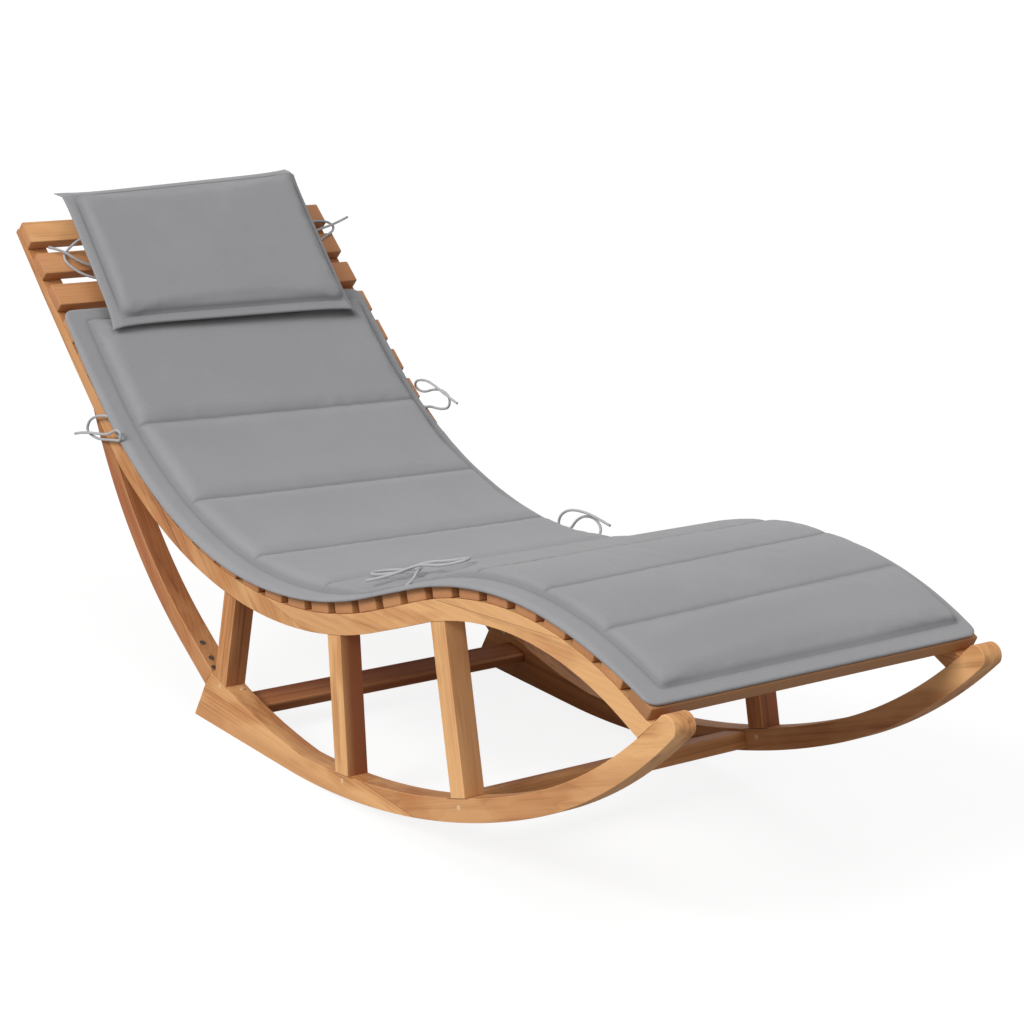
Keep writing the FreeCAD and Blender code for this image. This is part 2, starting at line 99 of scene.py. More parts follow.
BED = Bearing()
SLAT_FIRST, SLAT_PITCH = -0.014, 0.0686
SLAT_CLOSING = 0.000332         # each step towards the foot is this much shorter
MAT_HEAD, MAT_FOOT = 0.187, 1.8248
MAT_HALF = 0.296                # half the mat's width, before its edges are laid askew
MAT_UNDER = 0.0207              # its underside over the line, just clear of the slats
MAT_CORNER = 0.018
SEAMS = (0.448, 0.648, 0.852, 1.050, 1.240, 1.423, 1.553, 1.677)
# the mat lies a little askew: its edges across the chair, and how far each seam leans
NEAR_EDGE = ((0.187, -0.305), (0.32, -0.309), (0.70, -0.311), (0.95, -0.313), (1.25, -0.311),
             (1.55, -0.309), (1.70, -0.308), (1.825, -0.302))
FAR_EDGE = ((0.187, 0.289), (0.40, 0.289), (0.55, 0.294), (0.70, 0.2985), (0.90, 0.301),
            (1.40, 0.301), (1.825, 0.301))
SEAM_LEAN = ((0.187, 0.006), (0.448, 0.017), (0.648, 0.021), (0.852, 0.025), (1.050, 0.020),
             (1.240, 0.010), (1.423, 0.0), (1.553, -0.025), (1.677, -0.020), (1.825, 0.0))
# how full the mat is along the bed, worn flatter at the foot
FULLNESS = ((0.187, 1.0), (1.00, 1.0), (1.40, 0.92), (1.70, 0.84), (1.825, 0.80))
# how far the near border hangs down past the ends of the slats, and where across it starts
NEAR_DROOP = ((0.187, 0.006), (0.75, 0.007), (1.00, 0.003), (1.20, 0.002), (1.40, 0.005),
              (1.65, 0.006), (1.80, 0.006))
DROOP_START, DROOP_REACH = 0.3005, 0.0105


def slat_start(i):
    """Head edge of slat i on the bed's line."""
    return SLAT_FIRST + i * SLAT_PITCH - SLAT_CLOSING * i * (i - 1) / 2


def follow(keys, s):
    """A smooth line through keys of (place, value)."""
    if s <= keys[0][0]:
        return keys[0][1]
    for k in range(len(keys) - 1):
        (s0, a), (s1, b) = keys[k], keys[k + 1]
        if s <= s1:
            before, after = keys[max(0, k - 1)], keys[min(len(keys) - 1, k + 2)]
            rise_a = (b - before[1]) / (s1 - before[0]) * (s1 - s0)
            rise_b = (after[1] - a) / (after[0] - s0) * (s1 - s0)
            t = (s - s0) / (s1 - s0)
            return (a * (1 + 2 * t) * (1 - t) ** 2 + rise_a * t * (1 - t) ** 2
                    + b * t * t * (3 - 2 * t) - rise_b * t * t * (1 - t))
    return keys[-1][1]


# settings a user would change


def length_prop(name, text, value, low, high):
    return FloatProperty(name=name, description=text, default=value, min=low, max=high,
                         unit="LENGTH", subtype="DISTANCE")


def colour_prop(name, text, value):
    return FloatVectorProperty(name=name, description=text, default=value, size=3, min=0.0,
                               max=1.0, subtype="COLOR")


class TimberSettings(bpy.types.PropertyGroup):
    honey: colour_prop("Honey", "Main colour of the timber", (0.60, 0.270, 0.100))
    amber: colour_prop("Amber", "Paler boards and sapwood", (0.80, 0.445, 0.195))
    # the heartwood colour also paints shade: on the boards' far and lower sides, on the slats' far
    # ends and ends, and on the last slat
    heart_and_shade: colour_prop("Heart", "Red-brown heartwood", (0.36, 0.120, 0.048))
    # the russet colour also paints the shade on the slats' sides
    russet: colour_prop("Russet", "Late wood and dark streaks", (0.27, 0.090, 0.032))
    # the vein colour also paints the shade on the last slat
    vein: colour_prop("Vein", "Darkest veins and pores", (0.12, 0.045, 0.018))
    ring: length_prop("Growth ring", "Thickness of one growth ring", 0.0062, 0.001, 0.02)
    edge: length_prop("Eased edge", "Width of the rounding along frame edges", 0.0022, 0.0, 0.005)


class SlatSettings(bpy.types.PropertyGroup):
    count: IntProperty(name="Count", description="Number of slats", default=29, min=2, max=60)
    length: length_prop("Length", "Length across the chair", 0.600, 0.3, 0.8)
    width: length_prop("Width", "Width along the bed", 0.045, 0.02, 0.08)
    thick: length_prop("Thickness", "Thickness", 0.020, 0.01, 0.03)
    edge: length_prop("Eased edge", "Rounding along the edges", 0.0024, 0.0, 0.006)


class MatSettings(bpy.types.PropertyGroup):
    side: length_prop("Near border", "Flat border along the near side", 0.035, 0.01, 0.08)
    far_side: length_prop("Far border", "Flat border along the far side", 0.020, 0.01, 0.08)
    end: length_prop("End border", "Flat border at head and foot", 0.026, 0.01, 0.08)
    border_thick: length_prop("Border thickness", "Thickness of the border", 0.005, 0.002, 0.01)
    crown: length_prop("Crown", "Height of a panel over its underside", 0.0198, 0.015, 0.06)
    seam: length_prop("Seam", "Height in a cross seam", 0.0158, 0.005, 0.03)
    cell: length_prop("Mesh size", "Spacing of the cloth's mesh", 0.0085, 0.004, 0.02)
    cloth: colour_prop("Cloth", "Colour of mat and pillow", (0.315, 0.315, 0.325))


class PillowSettings(bpy.types.PropertyGroup):
    length: length_prop("Length", "Length across the chair", 0.492, 0.3, 0.6)
    height: length_prop("Height", "Height up the back", 0.300, 0.2, 0.4)
    border: length_prop("Border", "Flat border outside the stitched line", 0.0180, 0.01, 0.06)
    crown: length_prop("Crown", "Swell of the front", 0.0115, 0.005, 0.08)
    belly: length_prop("Belly", "Greatest swell of the back", 0.050, 0.01, 0.08)
    draw: length_prop("Drawn-in sides", "How far the sides pull in between corners", 0.007,
                      0.0, 0.03)


class StitchSettings(bpy.types.PropertyGroup):
    pitch: length_prop("Pitch", "From one stitch to the next", 0.0046, 0.002, 0.02)
    length: length_prop("Stitch", "Length of a stitch", 0.0034, 0.001, 0.01)
    thread: length_prop("Thread", "Thickness of the thread", 0.0007, 0.0003, 0.003)
    colour: colour_prop("Colour", "Colour of the thread", (0.27, 0.27, 0.28))


class ScrewSettings(bpy.types.PropertyGroup):
    head: length_prop("Head", "Diameter of a screw's head", 0.0085, 0.004, 0.02)
    proud: length_prop("Proud", "How far a head stands out", 0.0012, 0.0, 0.004)


class TieSettings(bpy.types.PropertyGroup):
    thick: length_prop("Thickness", "Diameter of a tie", 0.0045, 0.002, 0.01)
    colour: colour_prop("Colour", "Colour of the ties", (0.51, 0.51, 0.525))


class StageSettings(bpy.types.PropertyGroup):
    key: FloatProperty(name="Key light", description="Strength of the soft light from the left",
                       default=2.2, min=0.0, max=20.0)
    top: FloatProperty(name="Top light", description="Strength of the softer light from above",
                       default=0.65, min=0.0, max=20.0)
    fill: FloatProperty(name="Fill", description="Strength of the even light all round",
                        default=0.36, min=0.0, max=4.0)


class ChaiseSettings(bpy.types.PropertyGroup):
    timber: PointerProperty(type=TimberSettings)
    slats: PointerProperty(type=SlatSettings)
    mat: PointerProperty(type=MatSettings)
    pillow: PointerProperty(type=PillowSettings)
    stitches: PointerProperty(type=StitchSettings)
    screws: PointerProperty(type=ScrewSettings)
    ties: PointerProperty(type=TieSettings)
    stage: PointerProperty(type=StageSettings)


# shader expressions


def math_node(operation, swapped=False):
    """A Math node's operation as a method of Wire."""
    def apply(self, *other):
        values = (*other, self) if swapped else (self, *other)
        return self.node("ShaderNodeMath", {"operation": operation},
                         **{"i%d" % k: value for k, value in enumerate(values)})
    return apply


class Wire:
    """A socket in an expression: arithmetic on values adds Math nodes."""

    def __init__(self, tree, socket):
        self.tree, self.socket = tree, socket

    def node(self, kind, settings=None, out=0, **inputs):
        return wire(self.tree, kind, settings, out, **inputs)

    __add__ = __radd__ = math_node("ADD")
    __mul__ = __rmul__ = math_node("MULTIPLY")
    __sub__, __rsub__ = math_node("SUBTRACT"), math_node("SUBTRACT", swapped=True)
    __pow__ = math_node("POWER")
    sine, fraction, size = math_node("SINE"), math_node("FRACT"), math_node("ABSOLUTE")

    def clamp(self):
        return self.node("ShaderNodeClamp", Value=self)

    def ramp(self, low, high):
        """0 below low, 1 above high, smooth between."""
        return self.node("ShaderNodeMapRange", {"interpolation_type": "SMOOTHSTEP"},
                         Value=self, From_Min=low, From_Max=high)

    def parts(self):
        """The coordinates of a place."""
        node = self.node("ShaderNodeSeparateXYZ", i0=self).socket.node
        return [Wire(self.tree, socket) for socket in node.outputs]

    def scaled(self, *scale):
        return self.node("ShaderNodeVectorMath", {"operation": "MULTIPLY"}, i0=self, i1=scale)

    def speckle(self, scale, detail=2.0, **more):
        """Noise at a place."""
        return self.node("ShaderNodeTexNoise", Vector=self, Scale=scale, Detail=detail, **more)


def wire(tree, kind, settings=None, out=0, **inputs):
    """Adds a node with its settings, then values or links for inputs, by name or numbered i0 on."""
    node = tree.nodes.new(kind)
    for key, value in (settings or {}).items():
        setattr(node, key, value)
    for key, value in inputs.items():
        socket = node.inputs[int(key[1:]) if key[1:].isdigit() else key.replace("_", " ")]
        if isinstance(value, Wire):
            tree.links.new(value.socket, socket)
        else:
            socket.default_value = value
    return Wire(tree, node.outputs[out] if node.outputs else None)


def object_place(tree):
    return wire(tree, "ShaderNodeTexCoord", out="Object")


def stored(tree, name, out=2):
    """A number that the mesh keeps under a name, or its vector with out=1."""
    return wire(tree, "ShaderNodeAttribute", {"attribute_name": name}, out)


def mix(factor, a, b):
    """Mixes colour b into colour a."""
    a, b = (c if isinstance(c, Wire) else (*c, 1.0) for c in (a, b))
    return factor.node("ShaderNodeMix", {"data_type": "RGBA"}, 2, i0=factor, i6=a, i7=b)


def shade(colour, share):
    """A colour made darker or paler."""
    return [min(1.0, c * share) for c in colour]


def new_material(name):
    material = bpy.data.materials.new(name)
    material.use_nodes = True
    material.node_tree.nodes.clear()
    return material, material.node_tree


def surface(material, colour, roughness, height, strength, distance, **fixed):
    """Principled shader from a colour, a roughness and a bump's height, the rest set numbers."""
    bump = colour.node("ShaderNodeBump", Strength=strength, Distance=distance, Height=height)
    shader = colour.node("ShaderNodeBsdfPrincipled", Base_Color=colour, Roughness=roughness,
                         Normal=bump, **fixed)
    colour.node("ShaderNodeOutputMaterial", Surface=shader)
    return material


ACROSS = (0.0, 0.0, -math.pi / 2)       # the turn that lays grain across the chair
# noise in timber: its scale along and across the grain, detail and roughness
SWAY, CLOUD, PATCH = (3.0, 26.0, 2.0, 0.5), (1.6, 14.0, 3.0, 0.5), (8.0, 24.0, 2.0, 0.5)
STREAK, VEIN, PORES = (2.4, 110.0, 5.0, 0.62), (1.1, 62.0, 2.0, 0.4), (50.0, 1400.0, 2.0, 0.5)
WEAR_AND_HIGHLIGHT_PALER, WEAR_AND_HIGHLIGHT_SHARE = 1.25, 0.22     # free edges paler: the oil worn off, and a painted highlight on the rounding
JOINT_SHARE = 0.80              # how dark the line along a joint is


def teak(name, middle=(0.0, 0.0, 0.0), pitch=0.0, seed=0, tone=0.0, side_shade=0.0, per_board=False):
    """Oiled teak, its grain along a board at pitch in the side view, or across the chair if None.

    tone is how pale the board is, and the next number is how much painted shade, in the heartwood
    colour, darkens its far and lower side.
    Slats carry their own places in an attribute, with their grain along Y and a board number.
    """
    timber, slats = bpy.context.scene.chaise.timber, bpy.context.scene.chaise.slats
    material, tree = new_material(name)
    spread = math.sin(seed * 12.9), math.sin(seed * 7.3)
    if per_board:
        place, board, deep = stored(tree, "grain", 1), stored(tree, "board"), stored(tree, "deep")
        turned = wire(tree, "ShaderNodeMapping", Vector=place, Rotation=ACROSS)
        moved = wire(tree, "ShaderNodeCombineXYZ", X=board * 3.1, Y=(board * 12.9).sine() * 0.03,
                     Z=(board * 7.3).sine() * 0.05 + 0.05)
        p = wire(tree, "ShaderNodeVectorMath", {"operation": "ADD"}, i0=turned, i1=moved)
    else:
        turn = Euler(ACROSS if pitch is None else (0.0, math.radians(pitch), 0.0))
        start = Vector((0.37 * seed, spread[0] * 0.05, spread[1] * 0.06 + 0.05))
        p = wire(tree, "ShaderNodeMapping", Vector=object_place(tree), Rotation=turn,
                 Location=start - turn.to_matrix() @ Vector(middle))

    sway, cloud, patch, streak, vein, pores = (
        p.scaled(along, across, across).speckle(1.0, detail, Roughness=rough)
        for along, across, detail, rough in (SWAY, CLOUD, PATCH, STREAK, VEIN, PORES))
    # growth rings round a pith line that runs beside the board and leans along it
    x, y, z = p.parts()
    aside = y + x * (0.02 + 0.03 * spread[1]) + sway * 0.010
    radius = (aside * aside + z * z) ** 0.5
    late = (radius * (1.0 / timber.ring) + sway * 1.6).fraction() ** 2.5
    pale = (cloud.ramp(0.30, 0.72) + (patch.ramp(0.34, 0.66) - 0.5) * 0.85 + tone).clamp()
    if per_board:
        beside, far, _ = place.parts()
        pale = (pale + (board * 5.1).sine() * 0.55).clamp()
        # painted shade: the slats darker towards their far ends, where the pillow shades them, and
        # darker still on the last slat
        heart_and_shade = (((board * 3.7).sine() + cloud).ramp(0.35, 1.45) * 0.60
                 + far.ramp(0.15, 0.28) * 0.80 + deep)
    else:
        # painted shade: a board darker towards its far and lower side, where shade falls
        lower = (y - start.y) - (z - start.z) + (sway - 0.5) * 0.020
        heart_and_shade = (lower.ramp(-0.010, 0.016) * side_shade + cloud.ramp(0.45, 0.75) * (0.12 - 0.6 * tone)
                 + max(0.0, -0.4 - tone) * 1.5)
    colour = mix(pale, timber.honey, timber.amber)
    colour = mix(heart_and_shade.clamp(), colour, timber.heart_and_shade)
    dark = ((late * 0.30 + streak.ramp(0.48, 0.74) * 0.26) * (1.0 - pale) + late * 0.08
            + streak.ramp(0.48, 0.76) * (0.44 if per_board else 0.36))
    colour = mix(dark.clamp(), colour, timber.russet)
    colour = mix(vein.ramp(0.64, 0.76) * (0.62 - 0.4 * tone), colour, timber.vein)
    colour = mix(pores.ramp(0.60, 0.80) * 0.28, colour, timber.vein)
    if per_board:
        # end grain shows darker, and painted shade darkens the slats' ends under the mat's border
        # and their sides in the shaded gaps between slats
        end, side = slats.length / 2, slats.width / 2
        colour = mix(far.size().ramp(end - 0.0028, end - 0.0014) * 0.72, colour, timber.heart_and_shade)
        colour = mix(beside.size().ramp(side - 0.0017, side - 0.0002) * 0.55, colour,
                     timber.russet)
        # painted shade on the last slat, in the vein colour
        colour = mix(deep * 0.8, colour, timber.vein)
    eased = stored(tree, "eased")
    wear_and_highlight, joint = eased.clamp(), (eased * -1.0).clamp()
    # painted highlight: free edges paler, partly from worn oil
    colour = mix(wear_and_highlight * WEAR_AND_HIGHLIGHT_SHARE, colour, shade(timber.amber, WEAR_AND_HIGHLIGHT_PALER))
    colour = mix(joint * JOINT_SHARE, colour, timber.vein)
    rough = 0.52 + streak * 0.14 - wear_and_highlight * 0.08
    height = streak * 0.45 + pores * 0.55 + late * 0.25
    return surface(material, colour, rough, height, 0.22, 0.0006, Specular_IOR_Level=0.28)


def end_grain(name):
    """Pale end grain of a dowel pin."""
    material, tree = new_material(name)
    speck = object_place(tree).speckle(900.0, 3.0)
    colour = mix(speck.ramp(0.35, 0.75), (0.78, 0.56, 0.34), (0.55, 0.33, 0.17))
    return surface(material, colour, 0.6 + speck * 0.1, speck, 0.3, 0.0004)


THREAD = 0.0011                 # from thread to thread of the cloth


def cloth(name, colour):
    """Plain woven polyester, its threads along the piece's own UV map, which is in metres."""
    material, tree = new_material(name)
    uv = wire(tree, "ShaderNodeUVMap", {"uv_map": "cloth"})
    weft, warp = ((way * (math.pi / THREAD)).sine() for way in uv.parts()[:2])
    weave = weft * warp * 0.5 + 0.5
    slub = uv.scaled(420.0, 90.0, 1.0).speckle(1.0, 3.0)
    mottle = uv.speckle(7.0, 3.0)
    base = mix(mottle.ramp(0.35, 0.7) * 0.5, shade(colour, 0.96), shade(colour, 1.05))
    base = mix(slub.ramp(0.45, 0.75) * 0.35, base, shade(colour, 0.86))
    base = mix((1.0 - weave) * 0.16, base, shade(colour, 0.6))
    # painted shade in the creases along the seams
    base = mix(stored(tree, "crease") * 0.36, base, shade(colour, 0.35))
    return surface(material, base, 0.78 + slub * 0.12, weave + slub * 0.4, 0.35, 0.0003,
                   Sheen_Weight=0.25, Sheen_Roughness=0.5, Specular_IOR_Level=0.25)


def cord_cloth(name, colour):
    """Narrow sewn fabric tie, with a soft mottle and the fine weave of its cloth."""
    material, tree = new_material(name)
    place = object_place(tree)
    weave, soft = place.speckle(1500.0), place.speckle(120.0)
    base = mix(weave.ramp(0.35, 0.7) * 0.5, shade(colour, 0.82), shade(colour, 1.1))
    base = mix(soft.ramp(0.4, 0.7) * 0.25, base, shade(colour, 0.8))
    return surface(material, base, 0.82 + weave * 0.08, weave + soft * 0.6, 0.4, 0.0004,
                   Sheen_Weight=0.25, Specular_IOR_Level=0.25)


def steel(name):
    """Dull zinc-plated screw steel."""
    material, tree = new_material(name)
    scuff = object_place(tree).speckle(700.0, 4.0)
    colour = mix(scuff.ramp(0.4, 0.7), (0.20, 0.19, 0.18), (0.42, 0.40, 0.37))
    return surface(material, colour, 0.35 + scuff * 0.25, scuff, 0.2, 0.0002, Metallic=0.9)


# meshes


def new_object(name, data):
    obj = bpy.data.objects.new(name, data)
    bpy.context.scene.collection.objects.link(obj)
    return obj


def new_mesh(name, points, edges=(), faces=()):
    """A new object of plain points, edges and faces."""
    mesh = bpy.data.meshes.new(name)
    mesh.from_pydata(points, edges, faces)
    return new_object(name, mesh)


def plain_mesh(obj, name):
    """The evaluated object as a plain mesh object, its modifiers removed."""
    graph = bpy.context.evaluated_depsgraph_get()
    mesh = bpy.data.meshes.new_from_object(obj.evaluated_get(graph))
    mesh.name = name
    bpy.data.objects.remove(obj)
    return new_object(name, mesh)


def dress(piece, slot, *nodes):
    """Hides the nodes that a piece stands for and hangs it on the body that it rides on; slot is
    not used.
    """
    if nodes:
        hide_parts(*nodes)
    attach(piece, "root")


def store(mesh, name, values, domain="POINT"):
    """Keeps a number for each point or face of a mesh."""
    mesh.attributes.new(name, "FLOAT", domain).data.foreach_set("value", values)


WELD, FLAT = 2e-5, math.radians(0.6)    # points this near are one, faces this flat are one


def merged(node):
    """The solid of a node as one joined mesh, still in a bmesh."""
    bm = bmesh.new()
    bm.from_mesh(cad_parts[node].data)
    bmesh.ops.remove_doubles(bm, verts=bm.verts, dist=WELD)
    bmesh.ops.dissolve_limit(bm, angle_limit=FLAT, verts=bm.verts, edges=bm.edges)
    return bm


def search_tree(node):
    """A node's solid, to look up the place on it nearest to a point."""
    bm = merged(node)
    tree = BVHTree.FromBMesh(bm)
    bm.free()
    return tree


def touches(trees, place, reach):
    """Whether another board lies within reach of a place."""
    return any(tree.find_nearest(place, reach)[0] for tree in trees)


SHARP = math.radians(32.0)      # edges from this angle on are eased
TIGHT_SHARE = 0.42              # share of the easing that an edge along a joint gets
TIGHT, JOINT = 0.0003, 0.0012   # how near another board makes an edge, or its rounding, a joint


def ease(board, edge, limit):
    """Rounds a board's edges, the rounding as material 1, and evens its shading."""
    bevel = board.modifiers.new("eased", "BEVEL")
    bevel.width, bevel.segments, bevel.limit_method, bevel.material = edge, 3, limit, 1
    normal = board.modifiers.new("even", "WEIGHTED_NORMAL")
    normal.keep_sharp = True
    return bevel, normal


def eased_board(node, material, edge, neighbours):
    """A board like its solid that takes its place: free edges eased, tight ones kept tight."""
    bm = merged(node)
    weight = bm.edges.layers.float.new("bevel_weight_edge")
    for side in bm.edges:
        if side.calc_face_angle(0.0) >= SHARP:
            middle = (side.verts[0].co + side.verts[1].co) / 2
            side[weight] = TIGHT_SHARE if touches(neighbours, middle, TIGHT) else 1.0
    mesh = bpy.data.meshes.new(node + "_board")
    bm.to_mesh(mesh)
    bm.free()
    for polygon in mesh.polygons:
        polygon.use_smooth = True
    board = new_object(node + "_board", mesh)
    mesh.materials.clear()
    mesh.materials.append(material)
    mesh.materials.append(None)
    bevel, normal = ease(board, edge, "WEIGHT")
    bevel.use_clamp_overlap, bevel.miter_outer = True, "MITER_ARC"
    normal.weight = 80
    board = plain_mesh(board, node + "_board")
    mark_eased(board.data, material, neighbours)
    dress(board, "frame_teak", node)


def mark_eased(mesh, material, neighbours=()):
    """Marks rounded edges, 1 where free, worn and painted paler as a highlight, and -1 along a
    joint, and leaves one material.
    """
    def mark(polygon):
        if polygon.material_index != 1:
            return 0.0
        return -1.0 if touches(neighbours, polygon.center, JOINT) else 1.0

    eased = [mark(polygon) for polygon in mesh.polygons]
    store(mesh, "eased", eased, "FACE")
    mesh.polygons.foreach_set("material_index", [0] * len(eased))
    mesh.materials.clear()
    mesh.materials.append(material)


def pattern(obj, name, sizes, build):
    """Puts a Geometry Nodes modifier on obj: build gets the geometry and each named size."""
    tree = bpy.data.node_groups.new(name, "GeometryNodeTree")
    face = tree.interface
    face.new_socket("Geometry", in_out="OUTPUT", socket_type="NodeSocketGeometry")
    face.new_socket("Geometry", in_out="INPUT", socket_type="NodeSocketGeometry")
    keys = {label: face.new_socket(label, in_out="INPUT", socket_type="NodeSocketFloat").identifier
            for label in sizes}
    start = tree.nodes.new("NodeGroupInput")
    made = build({plug.name: Wire(tree, plug) for plug in start.outputs if plug.name})
    end = tree.nodes.new("NodeGroupOutput")
    tree.links.new(made.socket, end.inputs[0])
    modifier = obj.modifiers.new(name, "NODES")
    modifier.node_group = tree
    for label, value in sizes.items():
        modifier[keys[label]] = value


def scatter(points, piece, turn, material):
    """Puts a piece on every point, turned, and makes them one mesh of one material."""
    laid = piece.node("GeometryNodeInstanceOnPoints", Points=points, Instance=piece,
                      Rotation=turn)
    whole = piece.node("GeometryNodeRealizeInstances", Geometry=laid)
    return piece.node("GeometryNodeSetMaterial", Geometry=whole, Material=material)


def steps(keys, cell, close=(0.002, 0.005, 0.009, 0.014)):
    """Lines across a quilt: one on each key, close together beside it, then about cell apart."""
    out = []
    for a, b in zip(keys, keys[1:]):
        beside = [d for d in close if d < (b - a) * 0.42]
        low, high = a + beside[-1], b - beside[-1]
        count = max(1, round((high - low) / cell))
        out += [a] + [a + d for d in beside]
        out += [low + (high - low) * i / count for i in range(1, count)]
        out += [b - d for d in reversed(beside)]
    return out + [keys[-1]]


def swell(d, reach):
    """0 at a seam, 1 from reach on, round like a stuffed edge."""
    t = min(1.0, max(0.0, d / reach))
    return math.sqrt(1.0 - (1.0 - t) ** 2)


def ruffle(u, v, along, across, seed):
    """Unevenness of the cloth at a place, from -1 to 1."""
    return noise.noise(Vector((u * along, v * across, seed)))


CREASE = 0.0050                 # how far from a seam its shading reaches
HEM = 0.004                     # width of a quilt's outer edge on its UV map


def quilt(name, us, vs, top, bottom, to_seam):
    """A closed double skin over a grid: top(u, v) and bottom(u, v) give points, top's first.

    to_seam(u, v) is the distance to the nearest seam, along which the cloth is shaded.
    """
    bm = bmesh.new()
    uv = bm.loops.layers.uv.new("cloth")
    rows, cols = len(us), len(vs)
    upper, lower = ([[bm.verts.new(side(u, v)) for v in vs] for u in us]
                    for side in (top, bottom))

    def face(corners, places):
        f = bm.faces.new(corners)
        f.smooth = True
        for loop, place in zip(f.loops, places):
            loop[uv].uv = place

    for i in range(rows - 1):
        for j in range(cols - 1):
            ring = ((i, j), (i + 1, j), (i + 1, j + 1), (i, j + 1))
            for side, way in ((upper, ring), (lower, ring[::-1])):
                face([side[a][b] for a, b in way], [(us[a], vs[b]) for a, b in way])
    border = [(i, 0) for i in range(rows)] + [(rows - 1, j) for j in range(1, cols)]
    border += [(i, cols - 1) for i in range(rows - 2, -1, -1)]
    border += [(0, j) for j in range(cols - 2, 0, -1)]
    for (a, b), (c, d) in zip(border, border[1:] + border[:1]):
        face([upper[a][b], lower[a][b], lower[c][d], upper[c][d]],
             [(us[a], vs[b]), (us[a], vs[b] - HEM), (us[c], vs[d] - HEM), (us[c], vs[d])])
    bmesh.ops.recalc_face_normals(bm, faces=bm.faces)
    mesh = bpy.data.meshes.new(name)
    bm.to_mesh(mesh)
    bm.free()
    # painted shade along the seams, on the upper skin only
    seam_shades = [math.exp(-(to_seam(u, v) / CREASE) ** 2) for u in us for v in vs]
    store(mesh, "crease", seam_shades + [0.0] * len(seam_shades))
    return new_object(name, mesh)


SWELL_STEPS = 20                # simulated steps of the swelling cloth


def stuff(piece, held, pressure, most, slack):
    """Swells a quilt's upper skin, its first points, by simulated cloth held at its seams.

    held has 1 for each point on a seam and 0 for the rest, and no point moves further than most.
    """
    scene, mesh, count = bpy.context.scene, piece.data, len(held)
    faces = [list(p.vertices) for p in mesh.polygons if max(p.vertices) < count]
    upper = new_mesh("skin", [v.co.copy() for v in mesh.vertices[:count]], faces=faces)
    group = upper.vertex_groups.new(name="held")
    for strength in (0.0, 1.0):
        group.add([i for i, h in enumerate(held) if h == strength], strength, "REPLACE")
    swelling = upper.modifiers.new("swelling", "CLOTH")
    settings = swelling.settings
    settings.quality, settings.mass = 6, 0.25
    settings.vertex_group_mass = "held"
    settings.use_pressure, settings.uniform_pressure_force = True, pressure
    settings.effector_weights.gravity = 0.0
    settings.shrink_min = -slack
    settings.air_damping = 4.0
    settings.tension_stiffness = settings.compression_stiffness = 25.0
    settings.bending_stiffness = 0.6
    swelling.collision_settings.use_collision = False
    swelling.point_cache.frame_start, swelling.point_cache.frame_end = 1, SWELL_STEPS
    for frame_number in range(1, SWELL_STEPS + 1):
        scene.frame_set(frame_number)
    graph = bpy.context.evaluated_depsgraph_get()
    after = [v.co.copy() for v in upper.evaluated_get(graph).data.vertices]
    bpy.data.objects.remove(upper)
    scene.frame_set(1)
    for vertex, end in zip(mesh.vertices, after):
        move = end - vertex.co
        vertex.co = vertex.co + move * min(1.0, most / max(move.length, 1e-9))


def stitches(name, lines):
    """Rows of stitches along lines of points, each stitch a bead of thread."""
    sizes = bpy.context.scene.chaise.stitches
    points, edges = [], []
    for row in lines:
        start = len(points)
        points += row
        edges += [(start + i, start + i + 1) for i in range(len(row) - 1)]
    seam = new_mesh(name, points, edges)
    thread = cord_cloth(name + "_thread", sizes.colour)

    def build(sockets):
        row = sockets["Pitch"].node("GeometryNodeMeshToCurve", i0=sockets["Geometry"])
        holes = row.node("GeometryNodeResampleCurve", {"mode": "LENGTH"}, Curve=row,
                         Length=sockets["Pitch"])
        way = row.node("GeometryNodeInputTangent")
        turn = row.node("FunctionNodeAlignRotationToVector", {"axis": "X"}, Vector=way)
        bead = row.node("GeometryNodeMeshUVSphere", Segments=6, Rings=4, Radius=0.5)
        size = row.node("ShaderNodeCombineXYZ", X=sockets["Length"], Y=sockets["Thread"],
                        Z=sockets["Thread"])
        bead = row.node("GeometryNodeTransform", Geometry=bead, Scale=size)
        return scatter(holes, bead, turn, thread)

    pattern(seam, name, {"Pitch": sizes.pitch, "Length": sizes.length, "Thread": sizes.thread},
            build)
    dress(plain_mesh(seam, name), "cushion_cloth")


# the pieces

# the pitch of each board's grain in the side view, for the first or the last part of its name
PITCHES = {"back": -39.0, "seat": 4.0, "knee_block": -3.0, "heel": -2.0, "toe": 22.0, "leg": -48.0,
           "crossbar": None, "rear": 82.6, "middle": 100.3, "front": 106.6}
# each board's tone and the painted shade on its far and lower side, for its own name or the first
# part of it; the darkest tones, on the far boards and on the crossbars under the bed, are partly
# painted shade
BOARDS = {"rail_near_back": (-0.15, 0.2), "rail_near_knee": (0.90, 0.0),
          "rail_near_seat": (0.42, 0.25), "rail_far": (-0.30, 0.6),
          "runner_near_heel": (0.12, 0.3), "runner_near_toe": (0.22, 0.3),
          "runner_far_heel": (-0.35, 0.6), "runner_far_toe": (-0.02, 0.45),
          "leg_near": (-0.50, 0.4), "leg_far": (-0.40, 0.5),
          "post_near_rear": (0.0, 0.6), "post_near_middle": (0.15, 1.0),
          "post_near_front": (0.42, 0.35), "post_far": (-0.70, 0.9),
          "crossbar_rear": (-0.85, 0.7), "crossbar_front": (-0.40, 0.5)}


class Step:
    """A step of the work, made from the chaise's settings."""

    def execute(self, context):
        self.make(context.scene, context.scene.chaise)
        return {"FINISHED"}


# the photograph's camera: its place, its right and up, its focal length and picture in pixels
EYE, RIGHT, UP = (3.0895, -2.3739, 1.5003), (0.6123, 0.7880, 0.0644), (-0.2584, 0.1225, 0.9582)
FOCAL, PICTURE, SENSOR = 2610.9, 1024.0, 36.0


